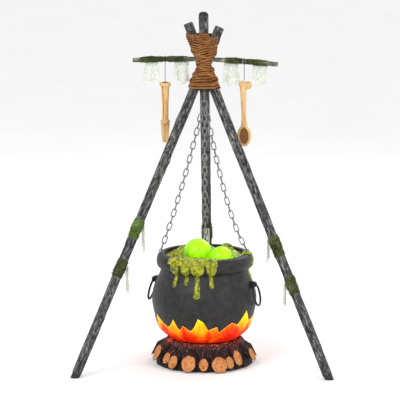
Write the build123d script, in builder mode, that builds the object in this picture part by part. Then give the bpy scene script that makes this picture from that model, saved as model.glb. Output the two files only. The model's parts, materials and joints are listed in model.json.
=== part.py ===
from build123d import *

import os
from math import acos, atan2, cos, degrees, dist, pi, radians, sin, tan

# Halloween bubbling cauldron under a pole tripod.
# Millimetres, +Z up, origin on the floor at the cauldron's axis. -Y is the front and
# the rear pole's foot points to +Y. Every piece is a separate solid in its own STEP file.

# ---- Tripod: driving dimensions
HUB_Z = 1275.0  # where the three pole axes cross
FOOT_R = 612.0  # radius of the circle of feet
POLE_R = 20.5
POLE_WALL = 2.5
LEGS = {"left": 210.0, "right": 330.0, "back": 90.0}  # azimuth of each foot
STUB_LENGTH = {"left": 169.0, "right": 186.0, "back": 253.0}  # pole length above the crossing
HUB_ARM = 51.5  # hub reach along each pole before the tube starts
SPIGOT_R = POLE_R - POLE_WALL - 0.1
SPIGOT_LENGTH = 45.0
LEG_JOINT_AT = 730.0  # distance from the crossing to the mid-pole coupling
LEG_TUBE_END = 1397.0
JOINT_GAP = 0.5

# ---- Crossbar, lashing and what hangs on it
BAR_R = 10.5
BAR_END_L = (-301.0, 0.0, HUB_Z + 17.0)
BAR_MIDDLE = (0.0, 0.0, HUB_Z + 22.0)
BAR_END_R = (309.0, 0.0, HUB_Z + 1.0)
LASH_TOP = 132.0  # above the crossing
LASH_BOTTOM = -100.0
ROPE_LAYER = 5.5
STRING_R = 1.25
FORK_STRING = 86.0
SPOON_STRING = 69.0
FORK_X = -164.0
SPOON_X = 167.0
MOSS_T = 4.5
BAR_MOSS_T = 4.0
MOSS_GAP = 0.1
# moss on the poles: (pole, distance from the crossing, length)
POLE_MOSS = [("left", 700, 85), ("left", 880, 80), ("right", 770, 95), ("right", 950, 85),
             ("back", 830, 90)]
BAR_MOSS = [(-262, -178), (-150, -78), (96, 152), (180, 258)]  # from X, to X
GAUZE_T = 1.2
# strips on the crossbar: (X, top above the crossing, width, drop)
BAR_GAUZE = [(-222, 18, 56, 112), (-96, 20, 60, 108), (112, 18, 56, 112), (232, 10, 56, 100)]
# scraps on the poles: (pole, distance from the crossing, reach inwards, width, drop)
POLE_GAUZE = [("left", 735, 29, 20, 112), ("left", 915, 30, 30, 118), ("right", 790, 30, 20, 108),
              ("right", 985, 30, 18, 104), ("back", 850, 30, 26, 110)]

# ---- Hook and chains
CHAIN_TOP_Z = 1086.0  # centre of the master link's lower bend wire
CHAIN_WIRE_R = 2.5
LINK_LENGTH = 35.6  # along the wire's centreline, end to end
LINK_WIDTH = 17.0
LINKS = 21
HOOK_ROD_R = 4.0
HOOK_EYE_R = 8.0
HOOK_EYE_WIRE_R = 3.0
HOOK_SEAT_Z = HUB_Z - 50.0
MASTER_RADIUS = 13.0
MASTER_STRAIGHT = 12.0
RUN_GAP = 0.35  # slack between two linked wires
MASTER_HOLD = 6.6  # from the master link's wire to an end link's wire, which crosses it at a slant
MASTER_SPREAD = 38.0  # degrees between neighbouring chains on the master link
EYE_R = 7.0
EYE_WIRE_R = 2.0
EYE_AT_R = 184.0
EYE_Z = 483.0
EYES = {"left": 185.0, "right": -5.0, "back": 90.0}  # azimuth of each chain's rim eye
CHAIN_SAG = {"left": 35.0, "right": 88.0, "back": 50.0}

# ---- Cauldron
BODY_WALL = 3.0
BELLY = [(100, 96), (130, 106), (151, 122), (172, 138), (189, 156), (204, 191), (214, 228), (220, 262),
         (221, 285), (217, 312), (208, 343), (195, 372), (186, 392), (183, 404)]
COLLAR = [(183, 404), (188, 411), (197, 420), (201, 434), (201, 448), (197, 462), (189, 471), (180, 473)]
MOUTH_R = 168.0
RIM_TOP = 473.0
LEDGE_R = 162.0
LEDGE_Z = 449.0
LEDGE_T = 5.0
SKIN_T = 2.5
SKIN_BOTTOM = 115.0
SKIN_TOP = 252.0
# flame tips: azimuth (0 at the front, positive to the right), height of the tip and of the notch after it
FLAMES = [(-70, 226, 186), (-39, 217, 173), (-25, 195, 183), (-8, 230, 182), (16, 194, 168), (33, 206, 196),
          (56, 250, 201), (76, 214, 178), (101, 236, 186), (126, 208, 172), (149, 228, 184), (171, 202, 176),
          (197, 240, 190), (222, 206, 174), (246, 232, 180), (268, 204, 178)]
HANDLE_AZIMUTH = {"right": -14.0, "left": 166.0}
HANDLE_R = 45.0
HANDLE_WIRE_R = 4.5
HANDLE_LEAN = 13.0  # degrees out from the vertical at the bottom
LUG_Z = 347.0
LUG_HALF = 7.0
LUG_R = 220.0  # radius of the handle's pivot from the cauldron's axis

# ---- Slime, bubbles and drive
# runs of slime over the rim: (angle from the front, half width on the rim, half width below, lowest point)
DRIPS = [(-38, 20, 11, 355), (-22, 18, 10, 369), (-7, 30, 14, 316), (9, 22, 10, 360), (88, 17, 9, 378)]
DRIP_T = 6.0
POOL_R = MOUTH_R - 0.4
POOL_T = 4.0
POOL_Z = LEDGE_Z + LEDGE_T
BIG_BUBBLE = (-28.0, 25.0, 466.0)
BIG_R = 61.0
SMALL_BUBBLE = (72.0, -27.0, 455.0)
SMALL_R = 50.0
DOME_WALL = 2.0
DOME_GAP = 1.0
DOME_BASE_Z = 430.0
DRIVE_X = 22.0
DRIVE_Z = 384.0
RACK_MODULE = 2.0
RACK_BACK = 9.0  # from the pitch line to the rack's back
GEAR_PLATES_Y = (-7.5, 13.5)  # front faces of the two plates the gears run between
GEAR_PLATE_T = 3.5
MOTOR_PLATE_Y = 27.5
RACK_TEETH = 18
RACK_PITCH_R = RACK_MODULE * RACK_TEETH / 2
DRIVE_MODULE = 1.25
DRIVE_TEETH = 40
MOTOR_TEETH = 12
MOTOR_Z = DRIVE_Z - DRIVE_MODULE * (DRIVE_TEETH + MOTOR_TEETH) / 2
MOTOR_R = 12.0
SHAFT_R = 3.0
DECK_Z = 334.0
DECK_T = 4.0
DECK_R = 150.0
POST_AT_R = 140.0
POST_R = 6.0
SCREW_R = 1.8
SCREW_HEAD_R = 4.0
SCREW_HEAD_T = 2.5
LED_SPOTS = [(-66.0, 52.0), (104.0, -52.0)]
LED_BOARD_Z = 404.0
LED_R = 2.5
LED_LENGTH = 6.0
BOARD_T = 1.6
CONTROL_BOARD_AT = (-70.0, -50.0)
FIRE_BOARD_Z = 20.0
FIRE_BOARD_R = (60.0, 84.0)  # inner and outer radius
FIRE_LEDS_AT_R = 72.0

# ---- Log base and battery compartment
RING_TOP = 113.0
RING_HOLE_R = 151.0
RING_FOOT_R = 192.0
# logs: azimuth from the front, half width, then of the cut end: half height, reach, height of its centre
LOGS = [(-96, 26, 33, 214, 52), (-67, 31, 36, 214, 58), (-46, 20, 26, 214, 49), (-36, 23, 31, 216, 38),
        (-16, 32, 38, 217, 38), (1, 20, 28, 213, 35), (19, 36, 35, 218, 34), (32, 20, 28, 214, 39),
        (43, 22, 36, 214, 54), (71, 27, 30, 217, 50), (97, 24, 30, 212, 48), (118, 27, 33, 215, 40),
        (140, 21, 27, 213, 36), (-140, 24, 30, 214, 38), (-119, 21, 27, 213, 42)]
LOG_SLOPE = 28.0  # degrees down towards the cut end
LOG_LEAN = 25.0  # degrees the cut ends lean back
BASE_R = 183.0
BASE_T = 3.0
BASE_POST_AT_R = 86.0
BASE_POST_R = 9.0
BASE_POST_TOP = 96.0
BOX_X = (-50.0, 84.0)
BOX_Y = (158.0, 212.0)
BOX_Z = (4.0, 63.0)
BOX_WALL = 2.5
DOOR_HALF = 46.5
DOOR_AXIS = (214.8, 60.0)  # Y and Z of the hinge line
DOOR_PIN_R = 1.5
PANEL_X = 50.0  # the wall between the cells and the switches
SWITCH_AT = (64.3, 42.0)  # X and Z of the switch, off
SWITCH_TRAVEL = 5.4
BUTTON_AT = (67.0, 22.0)
BUTTON_R = 5.0
CELL_R = 7.2
CELL_Y = 180.0
CELL_HEIGHTS = (17.0, 33.0, 49.0)


def save(piece, name):
    """Labels a finished piece and writes its STEP file."""
    piece.part.label = name
    export_step(piece.part, f"parts/{name}.step")


def group(name, solids):
    """One node made of several separate solids of the same kind."""
    with BuildPart() as pieces:
        for solid in solids:
            add(solid)
    save(pieces, name)


def polar(radius, azimuth, z=0.0):
    return Vector(radius * cos(radians(azimuth)), radius * sin(radians(azimuth)), z)


def pole_plane(azimuth):
    """Plane at the crossing, its normal running down the pole to the foot at this azimuth."""
    foot = polar(FOOT_R, azimuth)
    return Plane((0, 0, HUB_Z), x_dir=polar(1, azimuth + 90), z_dir=foot - Vector(0, 0, HUB_Z))


def pole_tube(azimuth, start, end, name):
    """One length of bark-covered tube, measured along the pole from the crossing."""
    with BuildPart() as tube:
        with BuildSketch(pole_plane(azimuth).offset(start)):
            Circle(POLE_R)
            Circle(POLE_R - POLE_WALL, mode=Mode.SUBTRACT)
        extrude(amount=end - start)
    save(tube, name)


def bar_path():
    return ThreePointArc(BAR_END_L, BAR_MIDDLE, BAR_END_R)


def bar_solid(radius):
    """The bent crossbar at a given radius, as a bare solid."""
    with BuildPart(mode=Mode.PRIVATE) as bar:
        with BuildLine():
            path = bar_path()
        with BuildSketch(Plane(path @ 0, z_dir=path % 0)):
            Circle(radius)
        sweep()
    return bar.part


# ================= Tripod
def make_hub():
    bar = bar_solid(BAR_R + 0.2)
    with BuildPart() as hub:
        for azimuth in LEGS.values():
            plane = pole_plane(azimuth)
            with BuildSketch(plane.offset(-HUB_ARM)):
                Circle(POLE_R)
            extrude(amount=2 * HUB_ARM)
            with BuildSketch(plane.offset(-HUB_ARM - SPIGOT_LENGTH)):
                Circle(SPIGOT_R)
            extrude(amount=2 * (HUB_ARM + SPIGOT_LENGTH))
        with BuildSketch(Plane.XY.offset(HOOK_SEAT_Z - 14)):
            Circle(13)
        extrude(amount=40)
        for azimuth in LEGS.values():
            with BuildSketch(pole_plane(azimuth).offset(HUB_ARM)):
                Circle(POLE_R + 0.4)
                Circle(SPIGOT_R, mode=Mode.SUBTRACT)
            extrude(amount=SPIGOT_LENGTH, mode=Mode.SUBTRACT)
        with BuildSketch(Plane.XY.offset(HOOK_SEAT_Z)):
            Circle(9.5)
        extrude(amount=150, mode=Mode.SUBTRACT)
        with BuildSketch(Plane.XY.offset(HOOK_SEAT_Z - 20)):
            Circle(HOOK_ROD_R + 0.08)
        extrude(amount=30, mode=Mode.SUBTRACT)
        add(bar, mode=Mode.SUBTRACT)
    save(hub, "tripod_hub")


def make_poles():
    for side, azimuth in LEGS.items():
        pole_tube(azimuth, HUB_ARM + JOINT_GAP, LEG_JOINT_AT, f"{side}_pole_upper")
        pole_tube(azimuth, LEG_JOINT_AT + JOINT_GAP, LEG_TUBE_END, f"{side}_pole_lower")
        pole_tube(azimuth, -STUB_LENGTH[side], -HUB_ARM - JOINT_GAP, f"{side}_pole_top")
    with BuildPart() as couplers:
        for azimuth in LEGS.values():
            with BuildSketch(pole_plane(azimuth).offset(LEG_JOINT_AT - 60)):
                Circle(SPIGOT_R)
                Circle(SPIGOT_R - 2.5, mode=Mode.SUBTRACT)
            extrude(amount=120)
    save(couplers, "pole_couplers")
    with BuildPart() as caps:
        for side, azimuth in LEGS.items():
            with BuildSketch(pole_plane(azimuth).offset(-STUB_LENGTH[side])):
                Circle(SPIGOT_R)
            extrude(amount=12)
    save(caps, "pole_top_caps")
    with BuildPart() as feet:
        for azimuth in LEGS.values():
            with BuildSketch(pole_plane(azimuth).offset(LEG_TUBE_END - 30)):
                Circle(SPIGOT_R)
            extrude(amount=70)
        split(bisect_by=Plane.XY, keep=Keep.TOP)
    save(feet, "rubber_feet")


def lash_section(height, radius, turn):
    """Rounded triangle round the three poles at a height above or below the crossing."""
    spread = max(abs(height) * FOOT_R / HUB_Z, 0.5)
    with BuildSketch(Plane.XY.offset(HUB_Z + height)) as section:
        with PolarLocations(spread, 3, start_angle=turn):
            Circle(radius)
        make_hull()
    return section.sketch


def make_lashing():
    """Hourglass of rope round the crossed poles, open at both ends."""
    inner_r = POLE_R / cos(atan2(FOOT_R, HUB_Z)) + 0.5
    outer_r = inner_r + ROPE_LAYER
    bar = bar_solid(BAR_R + 0.4)
    with BuildPart() as lashing:
        for end, turn in ((LASH_TOP, 270), (LASH_BOTTOM, 90)):
            loft([lash_section(0, outer_r, turn), lash_section(end, outer_r, turn)], ruled=True)
        for end, turn in ((LASH_TOP * 1.05, 270), (LASH_BOTTOM * 1.05, 90)):
            loft([lash_section(0, inner_r, turn), lash_section(end, inner_r, turn)], ruled=True,
                 mode=Mode.SUBTRACT)
        add(bar, mode=Mode.SUBTRACT)
    save(lashing, "rope_lashing")


def make_crossbar():
    with BuildPart() as crossbar:
        with BuildLine():
            path = bar_path()
        with BuildSketch(Plane(path @ 0, z_dir=path % 0)):
            Circle(BAR_R)
        sweep()
    save(crossbar, "crossbar")


def moss_collar(plane, start, length):
    """A clump of moss wrapped round a pole."""
    with BuildPart(mode=Mode.PRIVATE) as clump:
        with BuildSketch(plane.offset(start)):
            Circle(POLE_R + MOSS_T)
        extrude(amount=length)
        chamfer(clump.edges(), MOSS_T * 0.6)
        with BuildSketch(plane.offset(start - 1)):
            Circle(POLE_R + MOSS_GAP)
        extrude(amount=length + 2, mode=Mode.SUBTRACT)
    return clump.part


def make_moss():
    clumps = [moss_collar(pole_plane(LEGS[side]), start, length) for side, start, length in POLE_MOSS]
    group("pole_moss", clumps)
    outer = bar_solid(BAR_R + BAR_MOSS_T)
    inner = bar_solid(BAR_R + MOSS_GAP)
    clumps = []
    for low, high in BAR_MOSS:
        with BuildPart(mode=Mode.PRIVATE) as clump:
            add(outer)
            split(bisect_by=Plane.YZ.offset(low), keep=Keep.TOP)
            split(bisect_by=Plane.YZ.offset(high), keep=Keep.BOTTOM)
            add(inner, mode=Mode.SUBTRACT)
        clumps.append(clump.part)
    group("bar_moss", clumps)
    with BuildPart() as tuft:
        with BuildSketch(Plane.XY.offset(HUB_Z + LASH_BOTTOM - 12)):
            with PolarLocations(16, 3, start_angle=30):
                Circle(12)
            make_hull()
        extrude(amount=24)
        with BuildSketch(Plane.XY.offset(HUB_Z + LASH_BOTTOM - 20)):
            Circle(HOOK_ROD_R + 2)
        extrude(amount=40, mode=Mode.SUBTRACT)
        for azimuth in LEGS.values():
            with BuildSketch(pole_plane(azimuth).offset(60)):
                Circle(POLE_R + 0.3)
            extrude(amount=160, mode=Mode.SUBTRACT)
    save(tuft, "lashing_moss")


def gauze_strip(x, y, top, width, drop, turn=0.0):
    """A strip of cloth as a thin slab, hanging from its top edge and turned about the vertical."""
    with BuildPart(mode=Mode.PRIVATE) as strip:
        with BuildSketch(Plane((x, y, top - drop), x_dir=polar(1, turn), z_dir=(0, 0, 1))):
            Rectangle(width, GAUZE_T)
        extrude(amount=drop)
    return strip.part


def make_gauze():
    """Strips behind the crossbar, pinned under the moss, and scraps hung from the poles."""
    behind = BAR_R + 5
    strips = [gauze_strip(x, behind, HUB_Z + top, width, drop) for x, top, width, drop in BAR_GAUZE]
    group("bar_gauze", strips)
    scraps = []
    for side, along, reach, width, drop in POLE_GAUZE:
        plane = pole_plane(LEGS[side])
        # the pole runs outwards below, so a scrap hung on its inner side drops clear of it
        spot = plane.origin + plane.z_dir * along + polar(-reach, LEGS[side])
        scraps.append(gauze_strip(spot.X, spot.Y, spot.Z, width, drop, LEGS[side] + 90))
    group("pole_gauze", scraps)


# ================= Utensils
def string_and_loop(x, length, name):
    """A string looped round the crossbar and dropping straight to its utensil; returns its lower end."""
    z = bar_height(x)
    loop_r = BAR_R + STRING_R + 0.35
    loop = ring((x, 0, z), (1, 0, 0), loop_r, STRING_R)
    low = z - loop_r - length
    with BuildPart() as string:
        with BuildSketch(Plane((x, 0, low))):
            Circle(STRING_R)
        extrude(amount=length)
        add(loop)
    save(string, name)
    return low


def bar_height(x):
    """Height of the crossbar's centreline at x, from the circle through its three points."""
    (x1, _, z1), (x2, _, z2), (x3, _, z3) = BAR_END_L, BAR_MIDDLE, BAR_END_R
    slope = ((z3 - z2) / (x3 - x2) - (z2 - z1) / (x2 - x1)) / (x3 - x1)
    return z1 + (z2 - z1) / (x2 - x1) * (x - x1) + slope * (x - x1) * (x - x2)


def make_fork(top):
    """Turned handle with a flared cap and a raised collar, then a blade split in two tines."""
    front = Plane((FORK_X, 0, top), x_dir=(1, 0, 0), z_dir=(0, -1, 0))
    level = Plane((FORK_X, 0, top))
    axis = Axis((FORK_X, 0, 0), (0, 0, 1))
    with BuildPart() as handle:
        with BuildSketch(front):
            with BuildLine():
                Polyline((0, 0), (22, 0), (24, -3), (23, -14))
                Spline((23, -14), (18, -22), (16, -60), (13.5, -120), (14.5, -152))
                Polyline((14.5, -152), (19, -160), (20, -168), (18.5, -174), (0, -174), (0, 0))
            make_face()
        revolve(axis=axis)
    save(handle, "fork_handle")
    with BuildPart() as blade:
        with BuildSketch(level.offset(-174.2)):
            Ellipse(18, 9)
        with BuildSketch(level.offset(-255)):
            Ellipse(12, 5)
        loft()
        with BuildSketch(front):
            with Locations((0, -240)):
                Rectangle(3.2, 90)
        extrude(amount=30, both=True, mode=Mode.SUBTRACT)
    save(blade, "fork_blade")


def ellipsoid(centre, radii):
    """A ball stretched to three radii, as a bare solid."""
    ball = scale(Solid.make_sphere(1), by=radii, mode=Mode.PRIVATE)
    return ball.moved(Location(centre))


def make_spoon(top):
    """A wooden spoon hung by its handle: a forked knob, a slim handle and a hollow oval bowl."""
    level = Plane((SPOON_X, 0, top))
    bowl = ellipsoid((SPOON_X, 2, top - 235), (30.5, 13, 46))
    hollow = ellipsoid((SPOON_X - 1, -9, top - 236), (24, 15, 38))
    with BuildPart() as spoon:
        for x, z, radius in ((-10, -16, 14), (17, -19, 16)):
            with Locations((SPOON_X + x, 0, top + z)):
                Sphere(radius)
        with BuildSketch(level.offset(-12)):
            Circle(3)
        extrude(amount=12)
        for z, x, rx, ry in ((-12, -6, 12, 8), (-110, -2, 9.5, 7), (-205, 0, 11, 7)):
            with BuildSketch(level.offset(z)):
                with Locations((x, 0)):
                    Ellipse(rx, ry)
        loft()
        add(bowl)
        add(hollow, mode=Mode.SUBTRACT)
    save(spoon, "spoon")


# ================= Hook and chains
def ring(centre, normal, radius, wire_r):
    """A round wire ring as a bare solid."""
    with BuildPart(mode=Mode.PRIVATE) as loop:
        Torus(radius, wire_r)
    return loop.part.moved(Location(Plane(centre, z_dir=normal)))


def link_solid(straight, radius, wire_r):
    """A stadium-shaped link in its own XY plane, long way along Y."""
    with BuildPart(mode=Mode.PRIVATE) as link:
        with BuildLine() as path:
            a = Line((radius, -straight / 2), (radius, straight / 2))
            b = RadiusArc(a @ 1, (-radius, straight / 2), -radius)
            c = Line(b @ 1, (-radius, -straight / 2))
            RadiusArc(c @ 1, a @ 0, -radius)
        with BuildSketch(Plane(a @ 0, z_dir=(0, 1, 0))):
            Circle(wire_r)
        sweep(path=path.wires()[0])
    return link.part


def chain_curve(start, end, sag, steps=400):
    """Points of a hanging chain's line: straight run plus a parabolic sag straight down."""
    return [start + (end - start) * t + Vector(0, 0, -4 * sag * t * (1 - t))
            for t in (i / steps for i in range(steps + 1))]


def walk(points, distances):
    """Points at these distances along a polyline."""
    found, run, wanted = [], 0.0, list(distances)
    for a, b in zip(points, points[1:]):
        step = (b - a).length
        while wanted and run + step >= wanted[0] - 1e-9:
            found.append(a + (b - a) * ((wanted.pop(0) - run) / step))
        run += step
    found.extend([points[-1]] * len(wanted))
    return found


def make_hook():
    """Swivel hook: head on the hub's seat, rod down between the poles, closed eye below."""
    eye_z = master_top() - HOOK_EYE_WIRE_R - CHAIN_WIRE_R - RUN_GAP + HOOK_EYE_R
    eye = ring((0, 0, eye_z), (1, 0, 0), HOOK_EYE_R, HOOK_EYE_WIRE_R)
    with BuildPart() as hook:
        with BuildSketch(Plane.XY.offset(HOOK_SEAT_Z + 0.3)):
            Circle(8)
        extrude(amount=5)
        with BuildSketch(Plane.XY.offset(eye_z + HOOK_EYE_R)):
            Circle(HOOK_ROD_R)
        extrude(amount=HOOK_SEAT_Z + 1 - eye_z - HOOK_EYE_R)
        add(eye)
    save(hook, "swivel_hook")
    master = link_solid(MASTER_STRAIGHT, MASTER_RADIUS, CHAIN_WIRE_R)
    centre = Vector(0, 0, master_top() - MASTER_RADIUS - MASTER_STRAIGHT / 2)
    group("master_link", [master.moved(Location(Plane(centre, x_dir=(1, 0, 0), z_dir=(0, -1, 0))))])


def master_top():
    return CHAIN_TOP_Z + 2 * MASTER_RADIUS + MASTER_STRAIGHT


def chain_ends(side):
    """End-wire centres of a chain's first and last link, each pulled tight along its own direction."""
    turn = {"left": -MASTER_SPREAD, "right": MASTER_SPREAD, "back": 0.0}[side]
    bend = Vector(0, 0, CHAIN_TOP_Z + MASTER_RADIUS)
    hold = bend + Vector(sin(radians(turn)), 0, -cos(radians(turn))) * MASTER_RADIUS
    eye = polar(EYE_AT_R, EYES[side], EYE_Z)
    chord = eye - hold
    lift = Vector(0, 0, 4 * CHAIN_SAG[side])
    # an end link hooks round a wire, so its own end wire lies beyond that wire
    first = hold - (chord - lift).normalized() * MASTER_HOLD
    last = eye - (chord + lift).normalized() * (EYE_R - EYE_WIRE_R - CHAIN_WIRE_R - RUN_GAP)
    return first, last


def make_chain(side):
    first, last = chain_ends(side)
    curve = chain_curve(first, last, CHAIN_SAG[side])
    length = sum((b - a).length for a, b in zip(curve, curve[1:]))
    pitch = (length - LINK_LENGTH) / (LINKS - 1)
    print(side, "chain ends", first, last, "slack per link", LINK_LENGTH - 2 * CHAIN_WIRE_R - pitch)
    link = link_solid(LINK_LENGTH - LINK_WIDTH, LINK_WIDTH / 2, CHAIN_WIRE_R)
    across = polar(-1 if side == "left" else 1, EYES[side] + 90)
    links = []
    for i in range(LINKS):
        a, b = walk(curve, [i * pitch, i * pitch + LINK_LENGTH])
        along = (b - a).normalized()
        # the two front chains end flat-on, the rear one edge-on, to suit the wires they hook round
        flat = (i % 2 == 0) == (side != "back")
        width = across if flat else along.cross(across).normalized()
        links.append(link.moved(Location(Plane((a + b) * 0.5, x_dir=width, z_dir=width.cross(along)))))
    group(f"{side}_chain", links)


def eye_normal(side):
    """Front eyes stand radially; the rear eye stands across and leans with its chain's last link."""
    tangent = polar(1, EYES[side] + 90)
    if side != "back":
        return tangent
    first, last = chain_ends(side)
    pull = last - first + Vector(0, 0, 4 * CHAIN_SAG[side])
    return pull.cross(tangent)


def make_rim_eyes():
    rings = [ring(polar(EYE_AT_R, azimuth, EYE_Z), eye_normal(side), EYE_R, EYE_WIRE_R)
             for side, azimuth in EYES.items()]
    with BuildPart() as eyes:
        for loop in rings:
            add(loop)
        for azimuth in EYES.values():
            with BuildSketch(Plane(polar(EYE_AT_R, azimuth, RIM_TOP - 12))):
                Circle(EYE_WIRE_R)
            extrude(amount=EYE_Z - EYE_R - RIM_TOP + 12)
    save(eyes, "rim_eyes")


# ================= Cauldron
def solid_pot(grow=0.0):
    """The cauldron's outer form as a filled solid, optionally grown outwards."""
    belly = [(r + grow, z) for r, z in BELLY]
    collar = [(r + grow, z) for r, z in COLLAR]
    with BuildPart(mode=Mode.PRIVATE) as pot:
        with BuildSketch(Plane.XZ):
            with BuildLine():
                Line((0, BELLY[0][1]), belly[0])
                Spline(*belly)
                Spline(*collar)
                Polyline(collar[-1], (0, RIM_TOP), (0, BELLY[0][1]))
            make_face()
        revolve(axis=Axis.Z)
    return pot.part


def make_body():
    inner = [(r - BODY_WALL, z + (BODY_WALL if z < 100 else 0)) for r, z in BELLY]
    inner[0] = (97, 99)
    neck = inner[-1]
    pot = solid_pot()
    lugs = [handle_lug(azimuth) for azimuth in HANDLE_AZIMUTH.values()]
    with BuildPart() as body:
        add(pot)
        with BuildSketch(Plane.XZ):
            with BuildLine():
                Line((0, inner[0][1]), inner[0])
                Spline(*inner)
                Polyline(neck, (neck[0], LEDGE_Z), (LEDGE_R, LEDGE_Z), (LEDGE_R, POOL_Z), (MOUTH_R, POOL_Z),
                         (MOUTH_R, RIM_TOP + 5), (0, RIM_TOP + 5), (0, inner[0][1]))
            make_face()
        revolve(axis=Axis.Z, mode=Mode.SUBTRACT)
        with BuildSketch(Plane.XY.offset(80)):
            Circle(22)
        extrude(amount=40, mode=Mode.SUBTRACT)
        with BuildSketch(Plane.XY.offset(80)):
            with PolarLocations(86, 4, start_angle=45):
                Circle(SCREW_R)
        extrude(amount=40, mode=Mode.SUBTRACT)
        for azimuth in EYES.values():
            with BuildSketch(Plane(polar(EYE_AT_R, azimuth, RIM_TOP - 12))):
                Circle(EYE_WIRE_R + 0.05)
            extrude(amount=30, mode=Mode.SUBTRACT)
        add(lugs)
    save(body, "cauldron_body")


def handle_lug(azimuth):
    """A moulded lug with a cross hole; the ring handle hangs through it."""
    plane = Plane(polar(LUG_R, azimuth, LUG_Z), x_dir=polar(1, azimuth), z_dir=polar(1, azimuth + 90))
    with BuildPart(mode=Mode.PRIVATE) as lug:
        with BuildSketch(plane.offset(-LUG_HALF)):
            with BuildLine():
                Polyline((-22, 14), (2, 12), (10, 6), (10, -6), (2, -12), (-16, -16), (-22, 14))
            make_face()
        extrude(amount=2 * LUG_HALF)
        with BuildSketch(plane.offset(-2 * LUG_HALF)):
            with Locations((0, -0.3)):
                Circle(HANDLE_WIRE_R + 1.1)
        extrude(amount=4 * LUG_HALF, mode=Mode.SUBTRACT)
    return lug.part


def make_handles():
    """Ring handles, each hanging from its lug and leaning out over the belly."""
    for side, azimuth in HANDLE_AZIMUTH.items():
        top = polar(LUG_R, azimuth, LUG_Z)
        lean = radians(HANDLE_LEAN)
        down = polar(sin(lean), azimuth, -cos(lean))
        centre = top + down * HANDLE_R
        normal = down.cross(polar(1, azimuth + 90))
        group(f"{side}_ring_handle", [ring(centre, normal, HANDLE_R, HANDLE_WIRE_R)])


def pot_skin(thickness, low, high, profile):
    """A layer over part of the cauldron's outside, as a bare solid of revolution."""
    grown = [(r + thickness, z) for r, z in profile]
    pot = solid_pot(0.05)
    with BuildPart(mode=Mode.PRIVATE) as skin:
        with BuildSketch(Plane.XZ):
            with BuildLine():
                Line((0, grown[0][1]), grown[0])
                Spline(*grown)
                Polyline(grown[-1], (0, grown[-1][1]), (0, grown[0][1]))
            make_face()
        revolve(axis=Axis.Z)
        split(bisect_by=Plane.XY.offset(low), keep=Keep.TOP)
        split(bisect_by=Plane.XY.offset(high), keep=Keep.BOTTOM)
        add(pot, mode=Mode.SUBTRACT)
    return skin.part


def outward_plane(angle):
    """Upright plane facing outwards at an angle from the front, its Y axis being height."""
    return Plane((0, 0, 0), x_dir=polar(1, angle), z_dir=polar(1, angle - 90))


def make_flame_skin():
    band = pot_skin(SKIN_T, SKIN_BOTTOM, SKIN_TOP, BELLY)
    with BuildPart() as skin:
        add(band)
        for (angle, tip, notch), (following, next_tip, _) in zip(FLAMES, FLAMES[1:] + FLAMES[:1]):
            step = (following - angle) % 360
            half = radians(step) * 0.5 * 228
            with BuildSketch(outward_plane(angle + step / 2)):
                with BuildLine():
                    Polyline((-half, tip), (half * 0.1, notch), (half, next_tip), (half, SKIN_TOP + 3),
                             (-half, SKIN_TOP + 3), close=True)
                make_face()
            extrude(amount=260, mode=Mode.SUBTRACT)
    save(skin, "flame_skin")


# ================= Slime and bubbles
def make_drips():
    """Runs of slime over the rim and down the belly, each widest on the rim, each with a rounded end."""
    layer = pot_skin(DRIP_T, 300, RIM_TOP - 2, BELLY[:-1] + COLLAR)
    runs = []
    for angle, half_width, finger, low in DRIPS:
        with BuildPart(mode=Mode.PRIVATE) as run:
            with BuildSketch(outward_plane(angle)):
                with BuildLine():
                    Polyline((-half_width, RIM_TOP), (-half_width, 415), (-finger, 400),
                             (-finger, low + finger))
                    ThreePointArc((-finger, low + finger), (0, low), (finger, low + finger))
                    Polyline((finger, low + finger), (finger, 400), (half_width, 415), (half_width, RIM_TOP),
                             (-half_width, RIM_TOP))
                make_face()
            extrude(amount=260)
            add(layer, mode=Mode.INTERSECT)
        runs.append(run.part)
    group("slime_drips", runs)


def make_slime_pool():
    with BuildPart() as pool:
        with BuildSketch(Plane.XY.offset(POOL_Z)):
            Circle(POOL_R)
            for (x, y, _), radius in ((BIG_BUBBLE, BIG_R), (SMALL_BUBBLE, SMALL_R)):
                with Locations((x, y)):
                    Circle(radius + DOME_GAP, mode=Mode.SUBTRACT)
            with PolarLocations(POST_AT_R, 4, start_angle=45):
                Circle(SCREW_R, mode=Mode.SUBTRACT)
        extrude(amount=POOL_T)
        with BuildSketch(Plane.XY.offset(POOL_Z + POOL_T)):
            with Locations((-119, -24)):
                Circle(28)
        extrude(amount=12, taper=30)
    save(pool, "slime_pool")


def make_dome(centre, radius, name):
    """A hollow translucent bubble: half sphere, straight skirt, foot ring and a spoke across it."""
    x, y, z = centre
    inner = radius - DOME_WALL
    with BuildPart() as dome:
        with BuildSketch(Plane((x, y, 0), x_dir=(1, 0, 0), z_dir=(0, -1, 0))):
            with BuildLine():
                CenterArc((0, z), radius, 0, 90)
                Line((0, z + radius), (0, z + inner))
                CenterArc((0, z), inner, 0, 90)
                Polyline((inner, z), (inner, DOME_BASE_Z + 3), (radius - 9, DOME_BASE_Z + 3),
                         (radius - 9, DOME_BASE_Z), (radius, DOME_BASE_Z), (radius, z))
            make_face()
        revolve(axis=Axis((x, y, 0), (0, 0, 1)))
        with BuildSketch(Plane((x, y, DOME_BASE_Z))):
            Rectangle(2 * radius - 4, 16)
        extrude(amount=3)
    save(dome, name)


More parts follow.
